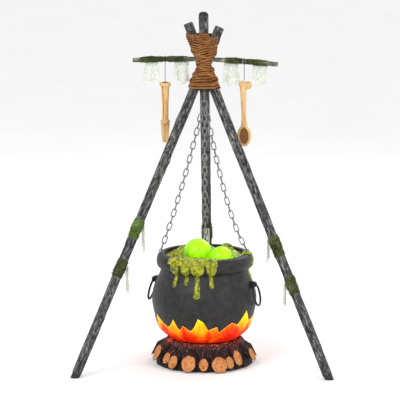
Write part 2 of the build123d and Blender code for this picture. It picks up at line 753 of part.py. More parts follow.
# ================= Bubble drive
def gear_sketch(teeth, module, turn=0.0, addendum=0.8, dedendum=1.15, backlash=0.12):
    """Stub involute gear outline; turn rotates it so that a tooth points that way."""
    pitch_r = teeth * module / 2
    base_r = pitch_r * cos(radians(20))
    tip_r = pitch_r + addendum * module
    root_r = pitch_r - dedendum * module

    def involute(radius):
        pressure = acos(base_r / radius)
        return tan(pressure) - pressure

    half_tooth = pi / (2 * teeth) - backlash / (2 * pitch_r) + involute(pitch_r)
    start_r = max(base_r, root_r)
    flank = []
    for i in range(6):
        radius = start_r + (tip_r - start_r) * i / 5
        angle = half_tooth - involute(radius)
        flank.append((radius * cos(angle), radius * sin(angle)))
    mirrored = [(x, -y) for x, y in reversed(flank)]
    inner = root_r * 0.9
    spread = half_tooth
    with BuildSketch(mode=Mode.PRIVATE) as gear:
        Circle(root_r)
        with BuildSketch(mode=Mode.PRIVATE) as tooth:
            with BuildLine():
                Spline(*flank)
                Line(flank[-1], mirrored[0])
                Spline(*mirrored)
                Polyline(mirrored[-1], (inner * cos(spread), -inner * sin(spread)),
                         (inner * cos(spread), inner * sin(spread)), flank[0])
            make_face()
        for i in range(teeth):
            add(tooth.sketch.rotate(Axis.Z, turn + 360 * i / teeth))
    return gear.sketch


def drive_plane(y):
    """Upright plane at this Y through the drive shaft, seen from the front."""
    return Plane((DRIVE_X, y, DRIVE_Z), x_dir=(1, 0, 0), z_dir=(0, -1, 0))


def make_drive():
    rack_pinion = gear_sketch(RACK_TEETH, RACK_MODULE)
    wheel = gear_sketch(DRIVE_TEETH, DRIVE_MODULE, turn=270)
    motor_gear = gear_sketch(MOTOR_TEETH, DRIVE_MODULE, turn=15)
    with BuildPart() as cluster:
        with BuildSketch(drive_plane(6)):
            add(rack_pinion)
        extrude(amount=12)
        with BuildSketch(drive_plane(14)):
            Circle(9)
        extrude(amount=9)
        with BuildSketch(drive_plane(20)):
            add(wheel)
        extrude(amount=6)
        with BuildSketch(drive_plane(30)):
            Circle(SHAFT_R)
        extrude(amount=60, mode=Mode.SUBTRACT)
    save(cluster, "bubble_drive_gear")
    with BuildPart() as shaft:
        with BuildSketch(drive_plane(25)):
            Circle(SHAFT_R)
        extrude(amount=41)
    save(shaft, "drive_shaft")
    with BuildPart() as pinion:
        with BuildSketch(drive_plane(20.6)):
            with Locations((0, MOTOR_Z - DRIVE_Z)):
                add(motor_gear)
        extrude(amount=6.6)
        with BuildSketch(drive_plane(34)):
            with Locations((0, MOTOR_Z - DRIVE_Z)):
                Circle(1.5)
        extrude(amount=14)
    save(pinion, "motor_pinion")


def make_rack(side, dome, name):
    """An upright rack on the pinion's left (-1) or right (+1), with a foot under the dome's spoke."""
    pitch = pi * RACK_MODULE
    face = side * RACK_PITCH_R
    low, high = DRIVE_Z - 30, DOME_BASE_Z
    reach = 0.8 * RACK_MODULE
    root = 1.15 * RACK_MODULE
    slope = tan(radians(20))
    half_gap = pitch / 4 + 0.03
    dome_x, dome_y, _ = dome
    with BuildPart() as rack:
        with BuildSketch(drive_plane(4.5)):
            back_x = face + side * RACK_BACK
            with BuildLine():
                Polyline((face + side * root, low - DRIVE_Z), (back_x, low - DRIVE_Z),
                         (back_x, high - DRIVE_Z), (face + side * root, high - DRIVE_Z), close=True)
            make_face()
            for i in range(-4, 4):
                middle = (i + 0.5) * pitch
                with BuildLine():
                    Polyline((face + side * (root + 0.5), middle - half_gap - root * slope + 0.06),
                             (face - side * reach, middle - half_gap + reach * slope + 0.06),
                             (face - side * reach, middle + half_gap - reach * slope - 0.06),
                             (face + side * (root + 0.5), middle + half_gap + root * slope - 0.06),
                             close=True)
                make_face()
        extrude(amount=9)
        with BuildSketch(Plane.XY.offset(DOME_BASE_Z - 4)):
            x = DRIVE_X + face + side * 4.5
            with Locations(((x + dome_x) / 2, (0 + dome_y) / 2)):
                Rectangle(dist((x, 0), (dome_x, dome_y)) + 16, 10,
                          rotation=degrees(atan2(dome_y, dome_x - x)))
        extrude(amount=4)
    save(rack, name)


def make_frame():
    """Deck, four posts up to the slime pool, three upright plates and the racks' back guides."""
    rack_back = RACK_PITCH_R + RACK_BACK + 0.3
    with BuildPart() as frame:
        with BuildSketch(Plane.XY.offset(DECK_Z)):
            Circle(DECK_R)
            with Locations((0, -70)):
                Circle(16, mode=Mode.SUBTRACT)
        extrude(amount=DECK_T)
        with BuildSketch(Plane.XY.offset(DECK_Z)):
            with PolarLocations(POST_AT_R, 4, start_angle=45):
                Circle(POST_R)
        extrude(amount=POOL_Z - DECK_Z)
        for y in GEAR_PLATES_Y:
            with BuildSketch(Plane((DRIVE_X, y, DECK_Z), x_dir=(1, 0, 0), z_dir=(0, -1, 0))):
                with Locations((0, (DRIVE_Z - DECK_Z + 14) / 2)):
                    Rectangle(2 * rack_back + 12, DRIVE_Z - DECK_Z + 14)
            extrude(amount=GEAR_PLATE_T)
        for side in (-1, 1):
            with BuildSketch(Plane.XY.offset(DECK_Z + DECK_T)):
                with Locations((DRIVE_X + side * (rack_back + 3), 1.5)):
                    Rectangle(6, 24)
            extrude(amount=DRIVE_Z + 14 - DECK_Z - DECK_T)
        with BuildSketch(Plane((DRIVE_X, MOTOR_PLATE_Y, DECK_Z), x_dir=(1, 0, 0), z_dir=(0, -1, 0))):
            with Locations((0, 18)):
                Rectangle(34, 36)
        extrude(amount=3)
        with BuildSketch(drive_plane(40)):
            Circle(SHAFT_R + 0.05)
            with Locations((0, MOTOR_Z - DRIVE_Z)):
                Circle(3.5)
        extrude(amount=30, mode=Mode.SUBTRACT)
        with BuildSketch(drive_plane(14)):
            Circle(9.3)
        extrude(amount=6, mode=Mode.SUBTRACT)
        with BuildSketch(drive_plane(-3)):
            Circle(SHAFT_R + 0.05)
        extrude(amount=12, mode=Mode.SUBTRACT)
        for x, y in LED_SPOTS:
            with BuildSketch(Plane.XY.offset(DECK_Z)):
                with Locations((x, y)):
                    Circle(4)
            extrude(amount=LED_BOARD_Z - DECK_Z)
        with BuildSketch(Plane.XY.offset(DECK_Z - 1)):
            with PolarLocations(POST_AT_R, 4, start_angle=45):
                Circle(SCREW_R - 0.3)
        extrude(amount=POOL_Z - DECK_Z + 2, mode=Mode.SUBTRACT)
    save(frame, "mechanism_frame")


def make_electrics():
    with BuildPart() as motor:
        with BuildSketch(drive_plane(27.5)):
            with Locations((0, MOTOR_Z - DRIVE_Z)):
                Circle(MOTOR_R)
                Circle(1.6, mode=Mode.SUBTRACT)
        extrude(amount=-30)
        with BuildSketch(drive_plane(27.5)):
            with Locations((0, MOTOR_Z - DRIVE_Z)):
                Circle(3.4)
                Circle(1.6, mode=Mode.SUBTRACT)
        extrude(amount=3)
    save(motor, "gear_motor")
    with BuildPart() as boards:
        for x, y in LED_SPOTS:
            with BuildSketch(Plane.XY.offset(LED_BOARD_Z)):
                with Locations((x, y)):
                    Circle(14)
            extrude(amount=BOARD_T)
        with BuildSketch(Plane.XY.offset(FIRE_BOARD_Z)):
            Circle(FIRE_BOARD_R[1])
            Circle(FIRE_BOARD_R[0], mode=Mode.SUBTRACT)
        extrude(amount=BOARD_T)
    save(boards, "led_boards")
    with BuildPart() as leds:
        for x, y in LED_SPOTS:
            with BuildSketch(Plane.XY.offset(LED_BOARD_Z + BOARD_T)):
                with Locations((x, y)):
                    with PolarLocations(7, 3):
                        Circle(LED_R)
            extrude(amount=LED_LENGTH)
    save(leds, "green_leds")
    with BuildPart() as fire:
        with BuildSketch(Plane.XY.offset(FIRE_BOARD_Z + BOARD_T)):
            with PolarLocations(FIRE_LEDS_AT_R, 8):
                Circle(LED_R)
        extrude(amount=LED_LENGTH)
    save(fire, "fire_leds")
    standoff = 4.0
    board_z = DECK_Z + DECK_T + standoff
    board_x, board_y = CONTROL_BOARD_AT
    with BuildPart() as board:
        with BuildSketch(Plane.XY.offset(board_z)):
            with Locations(CONTROL_BOARD_AT):
                Rectangle(70, 46)
        extrude(amount=BOARD_T)
        with BuildSketch(Plane.XY.offset(board_z + BOARD_T)):
            with Locations((board_x - 10, board_y)):
                Rectangle(16, 10)
            with Locations((board_x + 18, board_y)):
                with GridLocations(1, 16, 1, 2):
                    Circle(5)
        extrude(amount=8)
        with BuildSketch(Plane.XY.offset(DECK_Z + DECK_T)):
            with Locations(CONTROL_BOARD_AT):
                with GridLocations(60, 36, 2, 2):
                    Circle(3)
        extrude(amount=standoff)
    save(board, "control_board")
    route = [(30, 150, 40), (30, 110, 44), (16, 60, 30), (6, 8, 46), (2, 0, 100), (6, -8, 170), (8, -30, 235),
             (0, -62, 290), (-6, -72, 345), (-22, -66, 366)]
    radii = bend_radii(route)
    with BuildPart() as harness:
        with BuildLine():
            path = FilletPolyline(*route, radius=radii)
        with BuildSketch(Plane(path @ 0, z_dir=path % 0)):
            Circle(2.5)
        sweep()
    print("harness length", round(path.length), "radii", [round(r) for r in radii])
    save(harness, "wire_harness")


def bend_radii(points):
    """The largest smooth bend at each inner point, from the shorter run and half the turn."""
    found = []
    for a, b, c in zip(points, points[1:], points[2:]):
        before, after = Vector(*b) - Vector(*a), Vector(*c) - Vector(*b)
        half_turn = radians(before.get_angle(after)) / 2
        found.append(0.45 * min(before.length, after.length) / tan(half_turn))
    return found


# ================= Log base
def log_solid(azimuth, half_width, half_height, reach, height):
    """A log sloping up towards the fire, its cut end leaning back."""
    outward = azimuth - 90
    slope, lean = radians(LOG_SLOPE), radians(LOG_LEAN)
    axis = polar(cos(slope), outward, -sin(slope))
    cut = polar(reach, outward, height)
    with BuildPart(mode=Mode.PRIVATE) as log:
        with BuildSketch(Plane(cut - axis * 100, x_dir=polar(1, outward + 90), z_dir=axis)):
            Ellipse(half_width, half_height * cos(slope + lean))
        extrude(amount=160)
        split(bisect_by=Plane(cut, z_dir=polar(cos(lean), outward, sin(lean))), keep=Keep.BOTTOM)
        split(bisect_by=Plane.XY, keep=Keep.TOP)
    return log.part


def make_log_ring():
    logs = [log_solid(*log) for log in LOGS]
    with BuildPart() as ring_part:
        with BuildSketch(Plane.XZ):
            with BuildLine():
                Polyline((0, 0), (RING_FOOT_R, 0), (RING_FOOT_R, 30), (166, 108), (RING_HOLE_R, RING_TOP),
                         (0, RING_TOP), close=True)
            make_face()
        revolve(axis=Axis.Z)
        add(logs)
        with BuildSketch(Plane.XZ):
            with BuildLine():
                Polyline((0, -1), (BASE_R + 0.5, -1), (BASE_R + 0.5, 28), (160, 102), (RING_HOLE_R, 104),
                         (RING_HOLE_R, 200), (0, 200), close=True)
            make_face()
        revolve(axis=Axis.Z, mode=Mode.SUBTRACT)
        with BuildSketch(Plane.XY.offset(-1)):
            with Locations(((BOX_X[0] + BOX_X[1]) / 2, 200)):
                Rectangle(BOX_X[1] - BOX_X[0] + 1, 120)
        extrude(amount=BOX_Z[1] + 1.5, mode=Mode.SUBTRACT)
    save(ring_part, "log_ring")


def make_base():
    """Base plate with four posts up to the cauldron and pads for the ring of lamps."""
    with BuildPart() as base:
        with BuildSketch():
            Circle(BASE_R)
        extrude(amount=BASE_T)
        with BuildSketch(Plane.XY.offset(BASE_T)):
            with PolarLocations(FIRE_LEDS_AT_R, 4):
                Circle(4)
        extrude(amount=FIRE_BOARD_Z - BASE_T)
        with BuildSketch(Plane.XY.offset(BASE_T)):
            with PolarLocations(BASE_POST_AT_R, 4, start_angle=45):
                Circle(BASE_POST_R)
        extrude(amount=BASE_POST_TOP - BASE_T)
        with BuildSketch(Plane.XY.offset(FIRE_BOARD_Z)):
            Circle(FIRE_BOARD_R[1] + 0.2)
            Circle(FIRE_BOARD_R[0] - 0.2, mode=Mode.SUBTRACT)
        extrude(amount=9, mode=Mode.SUBTRACT)
        with BuildSketch(Plane.XY.offset(BASE_POST_TOP - 8)):
            with PolarLocations(BASE_POST_AT_R, 4, start_angle=45):
                Circle(SCREW_R)
        extrude(amount=10, mode=Mode.SUBTRACT)
        with BuildSketch(Plane.XY.offset(-1)):
            with Locations(((BOX_X[0] + BOX_X[1]) / 2, 200)):
                Rectangle(BOX_X[1] - BOX_X[0] + 1, 84)
        extrude(amount=10, mode=Mode.SUBTRACT)
    save(base, "base_plate")


def make_screws():
    """Four screws down into the base posts and four holding the slime to the deck's posts."""
    floor_z = BELLY[0][1] + BODY_WALL
    with BuildPart() as screws:
        with BuildSketch(Plane.XY.offset(BASE_POST_TOP - 6)):
            with PolarLocations(BASE_POST_AT_R, 4, start_angle=45):
                Circle(SCREW_R - 0.1)
        extrude(amount=floor_z + 0.3 - BASE_POST_TOP + 6)
        with BuildSketch(Plane.XY.offset(floor_z + 0.3)):
            with PolarLocations(BASE_POST_AT_R, 4, start_angle=45):
                Circle(SCREW_HEAD_R)
        extrude(amount=SCREW_HEAD_T)
        with BuildSketch(Plane.XY.offset(POOL_Z - 12)):
            with PolarLocations(POST_AT_R, 4, start_angle=45):
                Circle(SCREW_R - 0.4)
        extrude(amount=12 + POOL_T)
        with BuildSketch(Plane.XY.offset(POOL_Z + POOL_T)):
            with PolarLocations(POST_AT_R, 4, start_angle=45):
                Circle(SCREW_HEAD_R)
        extrude(amount=SCREW_HEAD_T)
    save(screws, "chassis_screws")


def make_battery_box():
    x0, x1 = BOX_X
    y0, y1 = BOX_Y
    z0, z1 = BOX_Z
    wall = BOX_WALL
    with BuildPart() as box:
        with BuildSketch(Plane.XY.offset(z0)):
            with Locations(((x0 + x1) / 2, (y0 + y1) / 2)):
                Rectangle(x1 - x0, y1 - y0)
        extrude(amount=z1 - z0)
        with BuildSketch(Plane.XY.offset(z0 + wall)):
            with Locations(((x0 + PANEL_X) / 2, (y0 + y1) / 2 + wall)):
                Rectangle(PANEL_X - x0 - 2 * wall, y1 - y0)
            with Locations(((PANEL_X + x1) / 2, (y0 + y1) / 2)):
                Rectangle(x1 - PANEL_X - 2 * wall, y1 - y0 - 2 * wall)
        extrude(amount=z1 - z0 - 2 * wall, mode=Mode.SUBTRACT)
        for x in (x0 + 1.5, PANEL_X - 1.5):
            with BuildSketch(Plane((x - 1.5, 0, 0), x_dir=(0, 1, 0), z_dir=(1, 0, 0))):
                with Locations((y1 + 3, z1 - 3.5)):
                    Rectangle(7, 7)
            extrude(amount=3)
        with BuildSketch(Plane((x0 - 5, 0, 0), x_dir=(0, 1, 0), z_dir=(1, 0, 0))):
            with Locations(DOOR_AXIS):
                Circle(DOOR_PIN_R + 0.05)
        extrude(amount=120, mode=Mode.SUBTRACT)
        with BuildSketch(Plane.XZ.offset(-y1 - 1)):
            with Locations((SWITCH_AT[0] + SWITCH_TRAVEL / 2, SWITCH_AT[1])):
                Rectangle(12, 5)
            with Locations(BUTTON_AT):
                Circle(BUTTON_R + 0.25)
        extrude(amount=5, mode=Mode.SUBTRACT)
        with BuildSketch(Plane.XZ.offset(-y0 + 1)):
            with Locations((30, 40)):
                Circle(2.7)
        extrude(amount=-6, mode=Mode.SUBTRACT)
    save(box, "battery_box")
    with BuildPart() as cells:
        for z in CELL_HEIGHTS:
            with BuildSketch(Plane.YZ.offset(-26)):
                with Locations((CELL_Y, z)):
                    Circle(CELL_R)
            extrude(amount=50)
            with BuildSketch(Plane.YZ.offset(24)):
                with Locations((CELL_Y, z)):
                    Circle(2.6)
            extrude(amount=1.2)
    save(cells, "battery_cells")
    with BuildPart() as contacts:
        for x in (-29.2, 25.6):
            with BuildSketch(Plane.YZ.offset(x)):
                with Locations((CELL_Y, CELL_HEIGHTS[1])):
                    Rectangle(14, 46)
            extrude(amount=0.6)
    save(contacts, "battery_contacts")


def make_door():
    """Battery door on two hinge pins along its top edge, with a finger lip at the bottom."""
    y, z = DOOR_AXIS
    low = 9.0
    pin_end = DOOR_HALF + 2.7
    with BuildPart() as door:
        with BuildSketch(Plane.XZ.offset(-y - 1.2)):
            with Locations((0, (low + z) / 2)):
                Rectangle(2 * DOOR_HALF, z - low)
        extrude(amount=2.2)
        with BuildSketch(Plane.YZ.offset(-DOOR_HALF)):
            with Locations(DOOR_AXIS):
                Circle(2.4)
        extrude(amount=2 * DOOR_HALF)
        with BuildSketch(Plane.YZ.offset(-pin_end)):
            with Locations(DOOR_AXIS):
                Circle(DOOR_PIN_R)
        extrude(amount=2 * pin_end)
        with BuildSketch(Plane.XZ.offset(-y - 5)):
            with Locations((0, low + 3)):
                Rectangle(22, 5)
        extrude(amount=4)
    save(door, "battery_door")


def make_controls():
    """A slide switch and a push button in the panel beside the door, each held by a flange inside it."""
    panel_y = BOX_Y[1]
    with BuildPart() as slider:
        with BuildSketch(Plane.XZ.offset(-panel_y - 3)):
            with Locations(SWITCH_AT):
                Rectangle(6, 4.4)
        extrude(amount=8)
        with BuildSketch(Plane.XZ.offset(-panel_y + 5)):
            with Locations(SWITCH_AT):
                Rectangle(12, 9)
        extrude(amount=-2)
    save(slider, "power_switch")
    with BuildPart() as button:
        with BuildSketch(Plane.XZ.offset(-panel_y - 4)):
            with Locations(BUTTON_AT):
                Circle(BUTTON_R)
        extrude(amount=12)
        with BuildSketch(Plane.XZ.offset(-panel_y + 5)):
            with Locations(BUTTON_AT):
                Circle(BUTTON_R + 2)
        extrude(amount=-2)
    save(button, "try_me_button")


def main():
    os.makedirs("parts", exist_ok=True)
    make_hub()
    make_poles()
    make_lashing()
    make_crossbar()
    make_moss()
    make_gauze()
    make_fork(string_and_loop(FORK_X, FORK_STRING, "fork_string"))
    make_spoon(string_and_loop(SPOON_X, SPOON_STRING, "spoon_string"))
    make_hook()
    for side in EYES:
        make_chain(side)
    make_rim_eyes()
    make_body()
    make_handles()
    make_flame_skin()
    make_drips()
    make_slime_pool()
    make_dome(BIG_BUBBLE, BIG_R, "big_bubble")
    make_dome(SMALL_BUBBLE, SMALL_R, "small_bubble")
    make_drive()
    make_rack(-1, BIG_BUBBLE, "big_bubble_rack")
    make_rack(1, SMALL_BUBBLE, "small_bubble_rack")
    make_frame()
    make_electrics()
    make_log_ring()
    make_base()
    make_screws()
    make_battery_box()
    make_door()
    make_controls()


main()
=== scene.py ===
"""Looks of the bubbling cauldron under its lashed tripod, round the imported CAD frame.

Metres, +Z up, front -Y.
"""

import json
from math import atan2, cos, exp, hypot, pi, radians, sin, sqrt

import bmesh
import bpy
import numpy as np
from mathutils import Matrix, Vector, noise
from mathutils.bvhtree import BVHTree


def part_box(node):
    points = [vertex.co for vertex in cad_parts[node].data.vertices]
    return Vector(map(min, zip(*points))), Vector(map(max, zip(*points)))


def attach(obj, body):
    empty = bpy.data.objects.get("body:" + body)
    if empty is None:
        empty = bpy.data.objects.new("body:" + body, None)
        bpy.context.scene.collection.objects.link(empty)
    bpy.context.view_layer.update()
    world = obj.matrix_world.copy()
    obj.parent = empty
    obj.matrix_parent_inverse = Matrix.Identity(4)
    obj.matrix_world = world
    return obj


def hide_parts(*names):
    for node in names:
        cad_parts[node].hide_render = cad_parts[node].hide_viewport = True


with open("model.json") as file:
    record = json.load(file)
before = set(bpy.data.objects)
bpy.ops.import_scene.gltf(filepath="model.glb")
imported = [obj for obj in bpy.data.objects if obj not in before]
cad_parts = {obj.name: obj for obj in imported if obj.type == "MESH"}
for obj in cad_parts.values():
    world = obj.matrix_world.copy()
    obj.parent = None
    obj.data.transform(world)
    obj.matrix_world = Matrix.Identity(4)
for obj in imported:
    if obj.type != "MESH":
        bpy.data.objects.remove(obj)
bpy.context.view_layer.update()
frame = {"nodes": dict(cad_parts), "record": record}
rng = np.random.default_rng(7)
MM = 0.001


# ================= Reading the frame
def node_points(node):
    return np.array([v.co for v in frame["nodes"][node].data.vertices], float)


def islands(node):
    """The separate solids of a CAD node, each as an array of its points."""
    work = bmesh.new()
    work.from_mesh(frame["nodes"][node].data)
    bmesh.ops.remove_doubles(work, verts=work.verts, dist=1e-5)
    left = set(work.verts)
    found = []
    while left:
        queue = [left.pop()]
        group = []
        while queue:
            vert = queue.pop()
            group.append(list(vert.co))
            for edge in vert.link_edges:
                other = edge.other_vert(vert)
                if other in left:
                    left.remove(other)
                    queue.append(other)
        found.append(np.array(group))
    work.free()
    return sorted(found, key=lambda p: tuple(p.mean(0)))


def box_middle(node):
    low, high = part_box(node)
    return (low + high) / 2


def mount(name):
    return Vector(next(m["pos_m"] for m in frame["record"]["mounts"] if m["name"] == name))


SIDES = ("left", "right", "back")
CROSSING = Vector((0, 0, box_middle("tripod_hub").z))
FEET = {side: mount(f"{side}_foot_rest") for side in SIDES}
AXES = {side: (FEET[side] - CROSSING).normalized() for side in SIDES}
POLE_R = (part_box("back_pole_upper")[1].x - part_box("back_pole_upper")[0].x) / 2
SPREAD = hypot(FEET["back"].x, FEET["back"].y) / CROSSING.z  # how far a pole leans out for each metre down
LASH_LOW, LASH_HIGH = (corner.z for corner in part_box("rope_lashing"))
BODY_LOW, BODY_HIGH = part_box("cauldron_body")
POOL_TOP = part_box("mechanism_frame")[1].z + 4 * MM


# ================= Mesh helpers
def around(angle, radius=1.0, z=0.0):
    """A point at this angle from +X, in radians, and this far from the middle."""
    return Vector((cos(angle) * radius, sin(angle) * radius, z))


def polar(radius, degrees_, z=0.0):
    """A point at an angle from the front, positive to the right."""
    return around(radians(degrees_ - 90), radius, z)


def rumple(point, size, strength, offset=0.0):
    """Smooth noise at a point, for wrinkles and bark of about this size."""
    p = Vector(point) / size
    return noise.fractal(p + Vector((offset, offset * 0.7, -offset)), 0.8, 2.1, 4) * strength


def wound(rows, columns):
    """A grid wound round a form: each row and column, the share of the rows done and the angle."""
    for i in range(rows):
        for j in range(columns):
            yield i, j, i / (rows - 1), 2 * pi * j / columns


def add_object(name, data):
    made = bpy.data.objects.new(name, data)
    bpy.context.scene.collection.objects.link(made)
    return made


def make_object(name, verts, faces, grain=None, smooth=True, **values):
    """A mesh piece; grain is the position in its own material, values one number for each point."""
    mesh = bpy.data.meshes.new(name)
    mesh.from_pydata([tuple(v) for v in verts], [], [tuple(int(i) for i in f) for f in faces])
    if grain is not None:
        layer = mesh.attributes.new("grain", "FLOAT_VECTOR", "POINT")
        layer.data.foreach_set("vector", np.asarray(grain, float).ravel())
    for key, numbers in values.items():
        layer = mesh.attributes.new(key, "FLOAT", "POINT")
        layer.data.foreach_set("value", np.asarray(numbers, float).ravel())
    mesh.polygons.foreach_set("use_smooth", [smooth] * len(mesh.polygons))
    mesh.update()
    return add_object(name, mesh)


def finish_piece(piece, body, shader, replaces=()):
    piece.data.materials.append(shader)
    if replaces:
        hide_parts(*replaces)
    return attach(piece, body)


class Batch:
    """Collects several meshes into one piece."""

    def __init__(self):
        self.verts, self.faces, self.grain, self.values = [], [], [], {}

    def add(self, verts, faces, grain=None, **values):
        start = len(self.verts)
        self.verts.extend(verts)
        self.faces.extend([[start + i for i in face] for face in faces])
        self.grain.extend(verts if grain is None else grain)
        for key, numbers in values.items():
            self.values.setdefault(key, []).extend(numbers)

    def build(self, name, smooth=True):
        return make_object(name, self.verts, self.faces, self.grain, smooth, **self.values)


def frames_along(path, closed=False):
    """Tangent, side and up vectors along a path, carried without twist."""
    path = np.asarray(path, float)
    if closed:
        tangents = np.roll(path, -1, 0) - np.roll(path, 1, 0)
    else:
        tangents = np.gradient(path, axis=0)
    tangents /= np.linalg.norm(tangents, axis=1)[:, None]
    side = np.cross(tangents[0], (0, 0, 1) if abs(tangents[0][2]) < 0.9 else (0, 1, 0))
    side /= np.linalg.norm(side)
    sides = []
    for tangent in tangents:
        side = side - tangent * np.dot(side, tangent)
        side /= np.linalg.norm(side)
        sides.append(side)
    sides = np.array(sides)
    return tangents, sides, np.cross(tangents, sides)


def grid_faces(rows, columns, wrap=True, wrap_rows=False):
    """Quads over a grid of points listed row by row."""
    faces = []
    for i in range(rows if wrap_rows else rows - 1):
        for j in range(columns if wrap else columns - 1):
            k, n = (j + 1) % columns, ((i + 1) % rows) * columns
            faces.append((i * columns + j, i * columns + k, n + k, n + j))
    return faces


def tube_mesh(path, radius, sides=12, closed=False, shape=None, ends=True):
    """A tube along a path. shape(s, angle, r) changes the radius; returns points, faces and grain."""
    path = np.asarray(path, float)
    _, side, up = frames_along(path, closed)
    run = np.concatenate([[0], np.cumsum(np.linalg.norm(np.diff(path, axis=0), axis=1))])
    radii = np.broadcast_to(radius, len(path))
    verts, grain = [], []
    for i, point in enumerate(path):
        for j in range(sides):
            angle = 2 * pi * j / sides
            r = radii[i] if shape is None else shape(run[i], angle, radii[i])
            verts.append(point + (side[i] * cos(angle) + up[i] * sin(angle)) * r)
            grain.append((cos(angle) * radii[i], sin(angle) * radii[i], run[i]))
    faces = grid_faces(len(path), sides, wrap_rows=closed)
    if ends and not closed:
        faces.append(tuple(reversed(range(sides))))
        faces.append(tuple(range(len(verts) - sides, len(verts))))
    return verts, faces, grain


# ================= Materials
class Shader:
    """A node material; each method adds a node and returns its output."""

    def __init__(self, name, **sockets):
        self.material = bpy.data.materials.new(name)
        self.material.use_nodes = True
        self.tree = self.material.node_tree
        self.bsdf = self.tree.nodes["Principled BSDF"]
        for key, value in sockets.items():
            self.bsdf.inputs[key.replace("_", " ")].default_value = value

    def node(self, kind, inputs, **settings):
        node = self.tree.nodes.new(kind)
        for key, value in settings.items():
            setattr(node, key, value)
        for key, value in inputs.items():
            if isinstance(value, bpy.types.NodeSocket):
                self.tree.links.new(value, node.inputs[key])
            else:
                node.inputs[key].default_value = value
        return node

    def place(self, attribute=None, stretch=(1, 1, 1)):
        """Coordinates in metres: the object's own, or a stored attribute such as grain."""
        if attribute:
            start = self.node("ShaderNodeAttribute", {}, attribute_name=attribute).outputs["Vector"]
        else:
            start = self.node("ShaderNodeTexCoord", {}).outputs["Object"]
        return self.node("ShaderNodeMapping", {"Vector": start, "Scale": stretch}).outputs["Vector"]

    def value(self, attribute):
        return self.node("ShaderNodeAttribute", {}, attribute_name=attribute).outputs["Fac"]

    def noise(self, place, size, detail=4.0, roughness=0.55, distortion=0.0):
        inputs = {"Vector": place, "Scale": 1 / size, "Detail": detail, "Roughness": roughness,
                  "Distortion": distortion}
        return self.node("ShaderNodeTexNoise", inputs).outputs["Fac"]

    def ramp(self, factor, *stops):
        node = self.node("ShaderNodeValToRGB", {"Fac": factor})
        points = node.color_ramp.elements
        while len(points) < len(stops):
            points.new(0.5)
        for point, (where, colour) in zip(points, stops):
            point.position = where
            point.color = (*colour, 1)
        return node.outputs["Color"]

    def grey(self, factor, low, high, out_low=0.0, out_high=1.0):
        inputs = {"Value": factor, "From Min": low, "From Max": high, "To Min": out_low, "To Max": out_high}
        return self.node("ShaderNodeMapRange", inputs).outputs["Result"]

    def math(self, operation, a, b=0.0):
        return self.node("ShaderNodeMath", {0: a, 1: b}, operation=operation).outputs["Value"]

    def total(self, a, share_a, b, share_b):
        return self.math("ADD", self.math("MULTIPLY", a, share_a), self.math("MULTIPLY", b, share_b))

    def mix(self, factor, a, b, blend="MIX"):
        a, b = ((*value, 1) if isinstance(value, tuple) else value for value in (a, b))
        inputs = {0: factor, 6: a, 7: b}
        return self.node("ShaderNodeMix", inputs, data_type="RGBA", blend_type=blend).outputs[2]

    def bump(self, height, depth, strength=1.0):
        node = self.node("ShaderNodeBump", {"Height": height, "Distance": depth, "Strength": strength})
        self.tree.links.new(node.outputs["Normal"], self.bsdf.inputs["Normal"])

    def join(self, socket, output):
        self.tree.links.new(output, self.bsdf.inputs[socket])


def bark_shader(name, dark, middle, light, pale, tint_a, tint_b):
    """Mottled bark with streaks along the grain and thin dark cracks."""
    s = Shader(name, Roughness=0.82, Specular_IOR_Level=0.25)
    streak = s.noise(s.place("grain", (1, 1, 0.30)), 9 * MM, 8, 0.72, 0.5)
    colour = s.ramp(streak, (0.38, dark), (0.48, middle), (0.57, light), (0.70, pale))
    patch = s.noise(s.place("grain", (1, 1, 0.5)), 70 * MM, 3, 0.5)
    tint = s.mix(s.grey(patch, 0.38, 0.62), tint_a, tint_b)
    colour = s.mix(0.6, colour, tint, "MULTIPLY")
    colour = s.mix(s.grey(patch, 0.35, 0.65, 0.35, 0.0), colour, dark)
    crack = s.noise(s.place("grain", (1, 1, 0.12)), 4 * MM, 5, 0.7, 1.2)
    crack_line = s.grey(crack, 0.38, 0.47)
    colour = s.mix(crack_line, dark, colour)
    s.join("Base Color", colour)
    s.join("Roughness", s.grey(streak, 0.3, 0.7, 0.92, 0.68))
    s.bump(s.total(streak, 0.8, crack_line, 0.5), 2.2 * MM, 0.9)
    return s.material


def rope_shader():
    """Jute: pale crowns, with painted shade in dark brown between the turns and between the strands."""
    s = Shader("jute", Roughness=0.88, Specular_IOR_Level=0.2)
    fine = s.noise(s.place("grain", (1, 1, 0.5)), 1.6 * MM, 6, 0.7, 0.5)
    broad = s.noise(s.place(), 26 * MM, 3, 0.5)
    colour = s.ramp(s.total(fine, 0.6, broad, 0.4),
                    (0.38, (0.15, 0.050, 0.012)), (0.5, (0.31, 0.125, 0.034)), (0.62, (0.50, 0.25, 0.085)))
    # painted shade: dark between the strands, between the turns and on the side facing the poles
    colour = s.mix(s.value("groove"), colour, (0.045, 0.014, 0.004))
    s.join("Base Color", colour)
    s.bump(fine, 0.7 * MM, 0.8)
    return s.material


def fibre_shader(name, dark, middle, light, size):
    """Loose or spun fibre: fine streaks of three shades."""
    s = Shader(name, Roughness=0.95, Specular_IOR_Level=0.15)
    fine = s.noise(s.place("grain", (1, 1, 0.25)), size * 0.35, 6, 0.7, 0.5)
    broad = s.noise(s.place(), size * 5, 3, 0.5)
    colour = s.ramp(s.total(fine, 0.65, broad, 0.35), (0.36, dark), (0.5, middle), (0.63, light))
    s.join("Base Color", colour)
    s.bump(fine, 0.8 * MM, 0.8)
    return s.material


